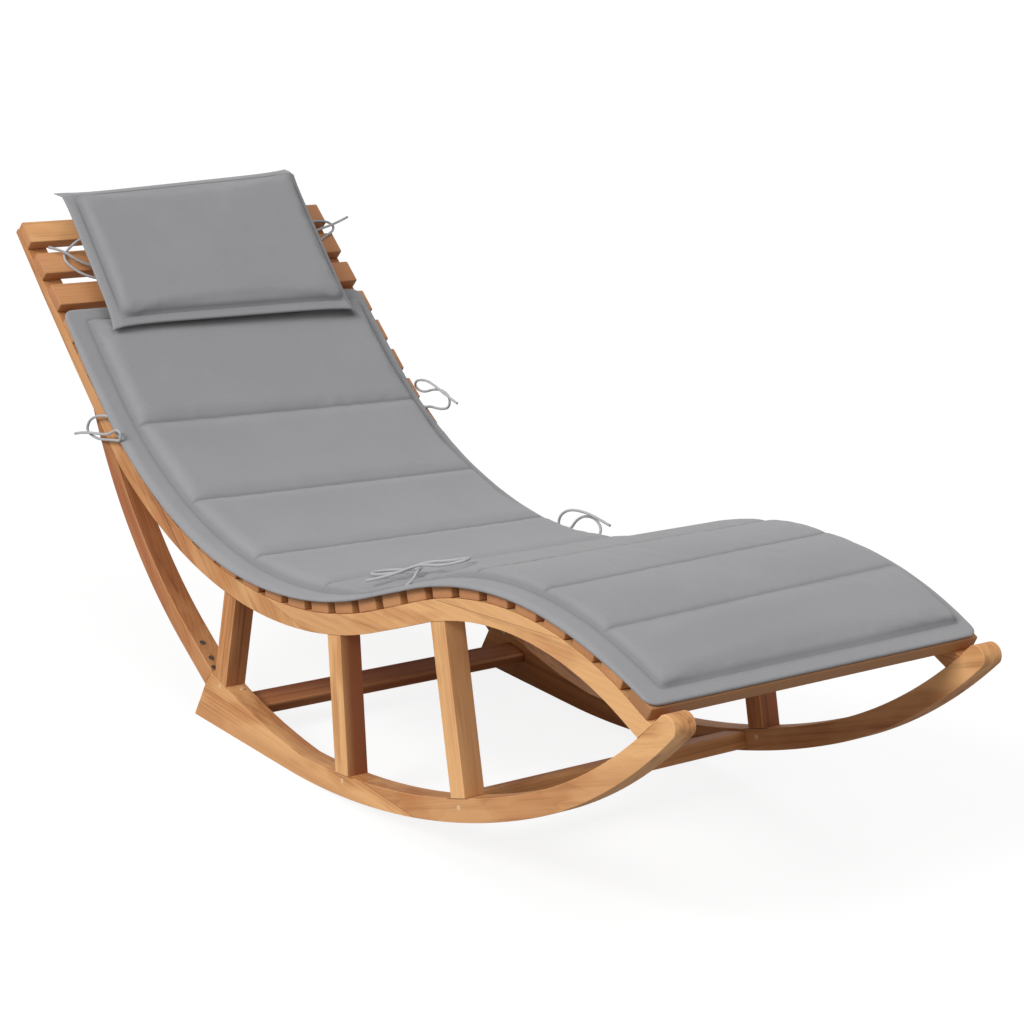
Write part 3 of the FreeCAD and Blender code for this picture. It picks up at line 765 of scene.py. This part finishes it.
class CHAISE_OT_camera(Step, bpy.types.Operator):
    """Place the camera where the photograph was taken from"""
    bl_idname = "chaise.camera"
    bl_label = "Camera"

    def make(self, scene, chaise):
        right = Vector(RIGHT).normalized()
        back = right.cross(Vector(UP).normalized()).normalized()
        up = back.cross(right)
        lens = bpy.data.cameras.new("camera")
        lens.sensor_width, lens.lens = SENSOR, FOCAL * SENSOR / PICTURE
        scene.camera = new_object("camera", lens)
        scene.camera.matrix_world = Matrix((right, up, back)).transposed().to_4x4()
        scene.camera.location = EYE


# the ties: their lengths in metres, and their routes as (s, h, y) on the bed in millimetres
LOW, OVER = 22.75, 28.25        # lying on a slat, and crossing over itself there
SIDE, AWAY = 309.0, 314.5       # hanging beside the bed, and crossing over itself there
ROUTES = {
    "tie_pillow_near": (
        0.259, (48, 49.7, -214), (50, 38, -228), (56, LOW + 3, -243), (66, LOW, -254),
        (79, LOW, -256), (94, LOW, -249), (108, LOW, -237), (120, LOW + 1, -219),
        (123, LOW + 2, -200), (110, LOW + 3, -191), (100, LOW + 4, -206), (92, LOW + 5, -224),
        (80, OVER, -240), (67, OVER + 1, -251), (57, OVER, -263), (49, LOW + 3, -277)),
    "tie_pillow_far": (
        0.345, (46, 49.7, 214), (40, 38, 230), (32, LOW + 3, 252), (28, LOW, 276), (30, LOW, 298),
        (42, LOW, 309), (55, LOW, 300), (63, LOW, 282), (73, LOW, 264), (83, LOW, 245),
        (85, LOW + 1.5, 226), (71, LOW + 3, 217), (62, LOW + 4, 232), (57, OVER, 253),
        (51, OVER, 275), (45, OVER + 1, 298), (38, OVER, 318), (31, OVER + 4, 340)),
    "tie_mat_head_near": (
        0.370, (401, 18, -307.5), (397, 14, -310), (388, 4, -310), (376, -14, -SIDE),
        (367, -36, -SIDE), (372, -56, -SIDE), (388, -49, -SIDE), (404, -37, -SIDE),
        (422, -17, -SIDE), (437, 0, -SIDE), (449, 12, -SIDE - 2), (457, 21, -SIDE - 3),
        (458, 29, -SIDE - 4), (452, 35, -AWAY), (444, 33, -AWAY - 1), (438, 24, -AWAY - 1),
        (432, 12, -AWAY - 1), (423, -2, -AWAY), (410, -16, -AWAY), (394, -34, -AWAY),
        (379, -53, -AWAY), (365, -72, -AWAY), (352, -92, -SIDE)),
    "tie_mat_head_far": (
        0.311, (467, 23.2, 288), (467, 23.7, 297), (468, 24.2, 304), (476, 27, 310),
        (491, 38, 312), (502, 53, 312), (493, 67, 312), (475, 66, 312), (457, 56, 312),
        (443, 41, 312), (433, 25, 312), (420, 13, 311), (407, 13, 307), (406, 26, 304),
        (416, 40, 303), (431, 53, 303), (452, 62, 303), (476, 68, 304), (499, 74, 305),
        (522, 79, 307)),
    "tie_mat_middle_far": (
        0.299, (979, 23.2, 291), (979, 24.0, 298), (980, 25.2, 305), (980, 38, 311),
        (969, 49, 312), (950, 54, 312), (927, 50, 312), (909, 38, 312), (898, 22, 312),
        (886, 12, 308), (873, 18, 305), (873, 34, 304), (885, 48, 303), (904, 57, 303),
        (930, 61, 303), (957, 60, 304), (984, 55, 305), (1008, 48, 307)),
    "tie_mat_middle_near": (
        0.805, (1278, 24, -288), (1272, 30, -270), (1262, 43, -251), (1248, 47, -235),
        (1224, 48, -217), (1189, 49, -198), (1147, 49, -185), (1107, 49, -180), (1083, 49, -189),
        (1077, 48, -208), (1095, 48, -222), (1131, 48, -228), (1171, 48, -229), (1209, 50, -229),
        (1242, 54, -229), (1273, 53, -227), (1305, 49, -223), (1337, 48, -222), (1363, 48, -230),
        (1373, 46, -247), (1357, 44, -260), (1327, 44, -256), (1296, 48, -251), (1265, 52, -245),
        (1233, 51, -243), (1201, 48, -245), (1167, 45, -248), (1133, 43, -255)),
}


class CHAISE_OT_ties(Step, bpy.types.Operator):
    """Lay the six ties, each knotted in a bow"""
    bl_idname = "chaise.ties"
    bl_label = "Ties"

    def make(self, scene, chaise):
        ties = chaise.ties
        material = cord_cloth("tie_cloth", ties.colour)
        for name, (length, *route) in ROUTES.items():
            points = [BED.point(s * 0.001, h * 0.001, y * 0.001) for s, h, y in route]
            curve = bpy.data.curves.new(name + "_bow", "CURVE")
            curve.dimensions, curve.bevel_depth, curve.bevel_resolution = "3D", ties.thick / 2, 3
            curve.resolution_u, curve.use_fill_caps = 8, True
            spline = curve.splines.new("NURBS")
            spline.points.add(len(points) - 1)
            for target, p in zip(spline.points, points):
                target.co = (*p, 1.0)
            spline.order_u, spline.use_endpoint_u = 3, True
            curve.materials.append(material)
            bow = new_object(name + "_bow", curve)
            dress(bow, "tie_cloth", name)


# each slat's board number sets its tone; the last slat gets the darkest number and a further
# darkening, both painted shade on its front, which faces away from the light
BOARD_STEP, BOARD_SPAN, SHADED_BOARD, LAST_SLAT_SHADE = 0.618034, 9.0, 2.156, 0.7


class CHAISE_OT_slats(Step, bpy.types.Operator):
    """Lay the slats across the rails"""
    bl_idname = "chaise.slats"
    bl_label = "Slats"

    def make(self, scene, chaise):
        sizes = chaise.slats
        places, tilts = [], []
        for i in range(sizes.count):
            s0 = slat_start(i)
            a, b = BED.point(s0), BED.point(s0 + sizes.width)
            pitch = math.atan2(b.z - a.z, b.x - a.x)
            up = Vector((-math.sin(pitch), 0.0, math.cos(pitch)))
            bulge = max(0.0, (BED.point(s0 + sizes.width / 2) - a).dot(up))
            places.append((a + b) / 2 + up * (sizes.thick / 2 + bulge))
            tilts.append(pitch)
        slats = new_mesh("slats", places)
        numbers = [(i * BOARD_STEP) % 1.0 * BOARD_SPAN for i in range(sizes.count - 1)]
        store(slats.data, "tilt", tilts)
        store(slats.data, "board", numbers + [SHADED_BOARD])
        # painted shade on the last slat's front, which faces away from the light
        store(slats.data, "deep", [0.0] * len(numbers) + [LAST_SLAT_SHADE])
        material = teak("slat_teak", per_board=True)

        def build(sockets):
            width = sockets["Width"]
            size = width.node("ShaderNodeCombineXYZ", X=width, Y=sockets["Length"],
                              Z=sockets["Thickness"])
            board = size.node("GeometryNodeMeshCube", Size=size)
            board = size.node("GeometryNodeStoreNamedAttribute", {"data_type": "FLOAT_VECTOR"},
                              Geometry=board, Name="grain",
                              Value=size.node("GeometryNodeInputPosition"))
            pitch = size.node("GeometryNodeInputNamedAttribute", {"data_type": "FLOAT"},
                              Name="tilt")
            turn = size.node("FunctionNodeEulerToRotation",
                             Euler=size.node("ShaderNodeCombineXYZ", Y=pitch * -1.0))
            return scatter(sockets["Geometry"], board, turn, material)

        pattern(slats, "slats", {"Width": sizes.width, "Length": sizes.length,
                                 "Thickness": sizes.thick}, build)
        ease(slats, sizes.edge, "ANGLE")
        slats = plain_mesh(slats, "slats")
        for polygon in slats.data.polygons:
            polygon.use_smooth = True
        mark_eased(slats.data, material)
        dress(slats, "slat_teak", *["slat_%02d" % (i + 1) for i in range(sizes.count)])


class CHAISE_OT_timber(Step, bpy.types.Operator):
    """Ease the edges of the frame's boards and give each its own run of grain"""
    bl_idname = "chaise.timber"
    bl_label = "Timber frame"

    def make(self, scene, chaise):
        boards = [node for node in sorted(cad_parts)
                  if node.split("_")[0] in ("rail", "runner", "leg", "post", "crossbar")]
        trees = {node: search_tree(node) for node in boards}
        for k, node in enumerate(boards):
            kind = node.split("_")[0]
            middle = [(a + b) / 2 for a, b in zip(*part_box(node))]
            tone, side_shade = max((len(key), BOARDS[key]) for key in BOARDS if node.startswith(key))[1]
            pitch = PITCHES[kind] if kind in PITCHES else PITCHES[node.split("_", 2)[2]]
            material = teak("teak_" + node, middle, pitch, k, tone, side_shade)
            eased_board(node, material, chaise.timber.edge,
                        [trees[n] for n in boards if n != node])
        pale = end_grain("dowel_end_grain")
        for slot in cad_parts["dowel_pins"].material_slots:
            slot.material = pale


def inset(u, v, a, b, corner):
    """How far a place lies inside a rectangle of half sizes a and b with rounded corners."""
    p, q = abs(u) - (a - corner), abs(v) - (b - corner)
    return corner - math.hypot(max(p, 0.0), max(q, 0.0)) - min(max(p, q), 0.0)


SEWN_OUT = 0.0014               # how far outside the padding its stitched line lies
THREAD_UP = 0.0002              # how far its thread stands off the cloth
# where the tie in the middle of the near side pulls the padding down: (u, v, depth)
TUGS = ((1.150, -0.240, 0.012), (1.330, -0.240, 0.012), (1.240, -0.244, 0.010))


def to_cross(u):
    """Distance to the mat's nearest cross seam."""
    return min(abs(u - c) for c in SEAMS)


class MatShape:
    """The mat's form: a place on it is u along the bed and v from its middle line."""

    BEFORE = 0.965              # share of the crown before the cloth is swollen
    CORNER = 0.010              # of the stitched line
    SEAM_RISE = 0.034           # from a cross seam to a panel's full height
    NEAR_RISE, FAR_RISE = 0.018, 0.011      # from the stitched line, steeper on the far side
    TUG_ALONG, TUG_ACROSS = 0.050, 0.020    # reach of the tie's pull

    def __init__(self, sizes):
        self.sizes = sizes
        self.cuts = [MAT_HEAD + sizes.end, *SEAMS, MAT_FOOT - sizes.end]
        self.near, self.far = sizes.side - MAT_HALF, MAT_HALF - sizes.far_side
        self.middle = (self.cuts[0] + self.cuts[-1]) / 2
        self.reach = (self.cuts[-1] - self.cuts[0]) / 2

    def inside(self, u, v):
        """Distance from the stitched line round the padding, positive on the padding."""
        return inset(u - self.middle, v - (self.near + self.far) / 2, self.reach,
                     (self.far - self.near) / 2, self.CORNER)

    def to_seam(self, u, v):
        inside = self.inside(u, v)
        return min(abs(inside), to_cross(u) if inside > 0.0 else 1.0)

    def rim(self, u, v):
        """How full the border is: less along the mat's own edge."""
        return swell(min(u - MAT_HEAD, MAT_FOOT - u, MAT_HALF - abs(v)) + 0.0006, 0.004)

    def height(self, u, v):
        """Height of the upper skin over the mat's underside."""
        sizes, inside, seam = self.sizes, self.inside(u, v), to_cross(u)
        if inside <= 0.0:
            wave = ruffle(u, v, 22.0, 40.0, 7.0) * 0.0004
            return sizes.border_thick * (0.5 + 0.5 * self.rim(u, v)) + wave
        panel = swell(seam, self.SEAM_RISE)
        crown = sizes.crown * self.BEFORE
        full = (sizes.seam + (crown - sizes.seam) * panel) * follow(FULLNESS, u)
        steeper = (self.NEAR_RISE - self.FAR_RISE) * swell(v - 0.12, 0.08)
        rise = swell(inside, self.NEAR_RISE - steeper) ** 0.9
        base = sizes.border_thick - 0.0014
        soft = ruffle(u, v, 9.0, 7.0, 0.3) * 0.0009 * panel
        pucker = math.exp(-seam / 0.010) * ruffle(u, v, 12.0, 70.0, 2.0) * 0.0009
        tuck = math.exp(-inside / 0.012) * ruffle(u, v, 60.0, 60.0, 4.0) * 0.0011
        tug = sum(deep * math.exp(-((u - a) / self.TUG_ALONG) ** 2
                                  - ((v - b) / self.TUG_ACROSS) ** 2) for a, b, deep in TUGS)
        return base + (full - base) * rise + (soft + pucker + tuck) * rise - tug * rise

    def place(self, u, v, h):
        """The point of the chair at height h over the mat's underside, corners rounded."""
        r = MAT_CORNER
        cu, cv = min(max(u, MAT_HEAD + r), MAT_FOOT - r), min(max(v, r - MAT_HALF), MAT_HALF - r)
        du, dv = u - cu, v - cv
        if du and dv:
            scale = max(abs(du), abs(dv)) / math.hypot(du, dv)
            u, v = cu + du * scale, cv + dv * scale
        near, far = follow(NEAR_EDGE, u), follow(FAR_EDGE, u)
        y = (near + far) / 2 + v / MAT_HALF * (far - near) / 2
        over = min(1.0, max(0.0, -y - DROOP_START) / DROOP_REACH)
        droop = follow(NEAR_DROOP, u) * (1.0 - math.cos(over * math.pi / 2))
        lean = follow(SEAM_LEAN, u) * v / (2 * MAT_HALF)
        return BED.point(u + lean, MAT_UNDER + h - droop, y)

    def top(self, u, v, above=0.0):
        return self.place(u, v, self.height(u, v) + above)

    def bottom(self, u, v):
        return self.place(u, v, self.sizes.border_thick * 0.5 * (1.0 - self.rim(u, v)))


class CHAISE_OT_mat(Step, bpy.types.Operator):
    """Make the long mat: padded panels between cross seams inside a flat border"""
    bl_idname = "chaise.mat"
    bl_label = "Mat"

    def make(self, scene, chaise):
        sizes = chaise.mat
        shape = MatShape(sizes)
        us = steps([MAT_HEAD, *shape.cuts, MAT_FOOT], sizes.cell)
        vs = steps([-MAT_HALF, shape.near, shape.far, MAT_HALF], sizes.cell)
        mat = quilt("mat", us, vs, shape.top, shape.bottom, shape.to_seam)
        held = [float(min(shape.inside(u, v), to_cross(u)) < 0.001) for u in us for v in vs]
        stuff(mat, held, 2.6, 0.003, 0.003)
        mat.data.materials.append(cloth("mat_cloth", sizes.cloth))
        dress(mat, "cushion_cloth", "mat_cushion")

        def row(us, vs):
            return [shape.top(u, v, THREAD_UP) for u in us for v in vs]

        head, foot = shape.cuts[0], shape.cuts[-1]
        inner = [v for v in vs if shape.near <= v <= shape.far]
        rows = [row([u], inner) for u in (head - SEWN_OUT, foot + SEWN_OUT)]
        rows += [row([c], [v for v in inner if shape.inside(c, v) > 0.004]) for c in SEAMS]
        rows += [row([u for u in us if head <= u <= foot], [v])
                 for v in (shape.near - SEWN_OUT, shape.far + SEWN_OUT)]
        stitches("mat_stitches", rows)


# how the pillow's corners lie off a true rectangle: down the back, across, and up
PILLOW_CORNERS = {(-1, -1): (0.0055, 0.0093, 0.006), (-1, 1): (-0.0157, 0.0041, 0.014),
                  (1, -1): (0.0019, -0.0008, 0.013), (1, 1): (0.0132, -0.0078, 0.022)}


class PillowShape:
    """The pillow's form: a place on it is u down the back and v across the chair."""

    MIDDLE, LIFT = 0.099, 0.0504        # its middle on the bed's line and over it
    TILT = math.radians(-4.6)           # against the line there
    SLAT_TOP = 0.0262                   # how high over the line its back comes to rest
    BEFORE = 0.93                       # share of the crown before the cloth is swollen
    CELL, CORNER = 0.0075, 0.022        # mesh size, and the stitched line's corners
    DOME, RISE = 0.0035, 0.013          # more swell in the middle, and the rise from the seam
    THIN_FROM, THIN_OVER, THIN = 0.060, 0.050, 0.08     # where and how thin it lies on the mat
    BEND_TOP, BEND_FAR, BEND_NEAR = 0.014, 0.012, 0.003     # how far its borders bend back

    def __init__(self, sizes):
        self.sizes, self.border = sizes, sizes.border
        self.a, self.b = sizes.height / 2, sizes.length / 2
        self.middle = BED.point(self.MIDDLE, self.LIFT)
        self.angle = BED.at(self.MIDDLE)[2] + self.TILT

    def inside(self, u, v):
        """Distance from the stitched line, positive on the padding."""
        return inset(u, v, self.a - self.border, self.b - self.border, self.CORNER)

    def swelling(self, u, v, high):
        """How far one side swells off the middle plane."""
        inside = self.inside(u, v)
        if inside <= 0.0:
            out = min(self.a - abs(u), self.b - abs(v))
            return 0.0022 * swell(out + 0.0004, 0.004)
        dome = ((1.0 - (u / (self.a - self.border)) ** 2)
                * (1.0 - (v / (self.b - self.border)) ** 2))
        full = high + self.DOME * dome ** 0.6
        ripple = ruffle(u, v, 30.0, 26.0, 5.0) * 0.0006
        tuck = math.exp(-inside / 0.010) * ruffle(u, v, 70.0, 70.0, 3.0) * 0.0012
        rise = swell(inside, self.RISE) ** 0.85
        return 0.0012 + (full - 0.0012) * rise + (ripple + tuck) * rise

    def shift(self, u, v):
        """How far the pull of the corners moves a place."""
        return sum((Vector(move) * (1 + cu * u / self.a) * (1 + cv * v / self.b) / 4
                    for (cu, cv), move in PILLOW_CORNERS.items()), Vector())

    def place(self, u, v, w):
        """The point of the chair at height w over the pillow's own middle plane."""
        border = self.border
        above, beside = max(0.0, border - self.a - u), max(0.0, abs(v) + border - self.b)
        w -= (above * self.BEND_TOP
              + beside * (self.BEND_FAR if v > 0.0 else self.BEND_NEAR)) / border
        draw, p, q = self.sizes.draw, abs(u) / self.a, abs(v) / self.b
        x = u * (1.0 - draw / self.a * (1.0 - q ** 7))
        y = v * (1.0 - draw / self.b * (1.0 - p ** 7))
        moved = self.shift(u, v)
        x, y, w = x + moved.x, y + moved.y, w + moved.z
        c, d = math.cos(self.angle), math.sin(self.angle)
        return self.middle + Vector((x * c - w * d, y, x * d + w * c))

    def top(self, u, v):
        crown = self.sizes.crown * self.BEFORE
        return self.place(u, v, self.swelling(u, v, crown))

    def bottom(self, u, v):
        """The back: swollen down to the slats, and thin where the pillow lies on the mat."""
        rest = self.LIFT + u * math.sin(self.TILT) + self.shift(u, v).z - self.SLAT_TOP
        t = min(1.0, max(0.0, (u - self.THIN_FROM) / self.THIN_OVER))
        high = min(self.sizes.belly, rest) * (1.0 - (1.0 - self.THIN) * t * t * (3 - 2 * t))
        return self.place(u, v, -self.swelling(u, v, high))


class CHAISE_OT_pillow(Step, bpy.types.Operator):
    """Make the head pillow: a stuffed middle inside a flat border with pointed corners"""
    bl_idname = "chaise.pillow"
    bl_label = "Head pillow"

    def make(self, scene, chaise):
        shape = PillowShape(chaise.pillow)
        a, b, border = shape.a, shape.b, shape.border
        us, vs = (steps([-c, border - c, c - border, c], shape.CELL) for c in (a, b))
        pillow = quilt("pillow", us, vs, shape.top, shape.bottom, shape.inside)
        held = [float(shape.inside(u, v) < 0.001) for u in us for v in vs]
        stuff(pillow, held, 3.2, 0.0025, 0.005)
        pillow.data.materials.append(cloth("pillow_cloth", chaise.mat.cloth))
        dress(pillow, "cushion_cloth", "head_pillow")

        def row(us, vs):
            return [shape.place(u, v, 0.0024) for u in us for v in vs]

        u1, v1 = a - border + SEWN_OUT, b - border + SEWN_OUT
        rows = [row([u], [v for v in vs if abs(v) < v1]) for u in (-u1, u1)]
        rows += [row([u for u in us if abs(u) < u1], [v]) for v in (-v1, v1)]
        stitches("pillow_stitches", rows)


# screws through the upper face of each rear leg's foot, as (x, y, z) of the far one
SCREWS = ((-0.2518, 0.2880, 0.1158), (-0.2247, 0.2880, 0.0990), (-0.2085, 0.2925, 0.0893))
SLOT_LONG, SLOT_WIDE, SLOT_UP = 0.62, 0.15, 0.45    # a head's cross slot, as shares of the head


class CHAISE_OT_screws(Step, bpy.types.Operator):
    """Drive the screws that hold the rear legs' feet to the runners"""
    bl_idname = "chaise.screws"
    bl_label = "Screws"

    def make(self, scene, chaise):
        sizes = chaise.screws
        places, ways = [], []
        for side, node in ((-1, "leg_near"), (1, "leg_far")):
            leg = search_tree(node)
            for x, y, z in SCREWS:
                seat, normal = leg.find_nearest(Vector((x, side * y, z)))[:2]
                places.append(seat + normal * sizes.proud / 2)
                ways.extend(normal)
        screws = new_mesh("leg_screws", places)
        way = screws.data.attributes.new("way", "FLOAT_VECTOR", "POINT")
        way.data.foreach_set("vector", ways)
        material = steel("screw_steel")

        def build(sockets):
            wide, proud = sockets["Head"], sockets["Proud"]
            head = wide.node("GeometryNodeMeshCylinder", Vertices=20, Radius=wide * 0.5,
                             Depth=proud)
            lifted = wide.node("ShaderNodeCombineXYZ", Z=proud * SLOT_UP)
            for long, thin in ((SLOT_LONG, SLOT_WIDE), (SLOT_WIDE, SLOT_LONG)):
                size = wide.node("ShaderNodeCombineXYZ", X=wide * long, Y=wide * thin, Z=proud)
                bar = wide.node("GeometryNodeMeshCube", Size=size)
                bar = wide.node("GeometryNodeTransform", Geometry=bar, Translation=lifted)
                head = wide.node("GeometryNodeMeshBoolean", {"operation": "DIFFERENCE"},
                                 i0=head, i1=bar)
            way = wide.node("GeometryNodeInputNamedAttribute", {"data_type": "FLOAT_VECTOR"},
                            Name="way")
            turn = wide.node("FunctionNodeAlignRotationToVector", {"axis": "Z"}, Vector=way)
            return scatter(sockets["Geometry"], head, turn, material)

        pattern(screws, "leg_screws", {"Head": sizes.head, "Proud": sizes.proud}, build)
        dress(plain_mesh(screws, "leg_screws"), "screw_steel")


def grey(value):
    return (value, value, value, 1.0)


class CHAISE_OT_stage(Step, bpy.types.Operator):
    """Set the pale floor and the soft studio light"""
    bl_idname = "chaise.stage"
    bl_label = "Stage"

    REACH = 30.0

    def make(self, scene, chaise):
        corners = [(x * self.REACH, y * self.REACH, 0.0)
                   for x, y in ((-1, -1), (1, -1), (1, 1), (-1, 1))]
        floor = new_mesh("floor", corners, faces=[(0, 1, 2, 3)])
        material, tree = new_material("floor")
        # the camera sees the floor nearly white, and the chair is lit by a grey one
        paint = wire(tree, "ShaderNodeBsdfDiffuse", Color=grey(0.45))
        pale = wire(tree, "ShaderNodeBsdfDiffuse", Color=grey(0.17))
        glow = wire(tree, "ShaderNodeEmission", Color=grey(1.0), Strength=0.87)
        both = wire(tree, "ShaderNodeAddShader", i0=pale, i1=glow)
        seen = wire(tree, "ShaderNodeLightPath", out="Is Camera Ray")
        shown = wire(tree, "ShaderNodeMixShader", i0=seen, i1=paint, i2=both)
        wire(tree, "ShaderNodeOutputMaterial", Surface=shown)
        floor.data.materials.append(material)

        world = bpy.data.worlds.new("studio")
        scene.world = world
        world.use_nodes = True
        tree = world.node_tree
        tree.nodes.clear()
        seen, gloss, clear = (wire(tree, "ShaderNodeLightPath", out="Is %s Ray" % kind)
                              for kind in ("Camera", "Glossy", "Transmission"))
        soft = wire(tree, "ShaderNodeBackground", Color=grey(1.0), Strength=chaise.stage.fill)
        bright = wire(tree, "ShaderNodeBackground", Color=grey(1.0), Strength=1.0)
        both = wire(tree, "ShaderNodeMixShader", i0=(seen + gloss + clear).clamp(), i1=soft,
                    i2=bright)
        wire(tree, "ShaderNodeOutputWorld", Surface=both)

        for name, strength, spread, way in (("key", chaise.stage.key, 26.0, (0.03, -0.80, 0.60)),
                                            ("top", chaise.stage.top, 50.0, (0.40, 0.0, 0.92))):
            light = bpy.data.lights.new(name, "SUN")
            light.energy, light.angle = strength, math.radians(spread)
            lamp = new_object(name, light)
            lamp.rotation_euler = Vector(way).to_track_quat("Z", "Y").to_euler()
        scene.view_settings.view_transform = "Standard"


class CHAISE_PT_panel(bpy.types.Panel):
    """Lists the lounger's settings and the steps that make its pieces"""
    bl_idname = "CHAISE_PT_panel"
    bl_label = "Chaise"
    bl_space_type = "VIEW_3D"
    bl_region_type = "UI"
    bl_category = "Chaise"

    def draw(self, context):
        settings = context.scene.chaise
        for step in STEPS:
            self.layout.operator(step.bl_idname)
        for key in ChaiseSettings.__annotations__:
            group = getattr(settings, key)
            box = self.layout.box()
            box.label(text=key.capitalize())
            for name in group.__annotations__:
                box.prop(group, name)


GROUPS = (TimberSettings, SlatSettings, MatSettings, PillowSettings, StitchSettings,
          ScrewSettings, TieSettings, StageSettings, ChaiseSettings)
STEPS = (CHAISE_OT_camera, CHAISE_OT_ties, CHAISE_OT_slats, CHAISE_OT_timber, CHAISE_OT_mat,
         CHAISE_OT_pillow, CHAISE_OT_screws, CHAISE_OT_stage)


def register():
    for item in GROUPS + STEPS + (CHAISE_PT_panel,):
        bpy.utils.register_class(item)
    bpy.types.Scene.chaise = PointerProperty(type=ChaiseSettings)


def unregister():
    del bpy.types.Scene.chaise
    for item in reversed(GROUPS + STEPS + (CHAISE_PT_panel,)):
        bpy.utils.unregister_class(item)


def main():
    register()
    for step in STEPS:
        group, name = step.bl_idname.split(".")
        getattr(getattr(bpy.ops, group), name)()


if __name__ == "__main__":
    main()
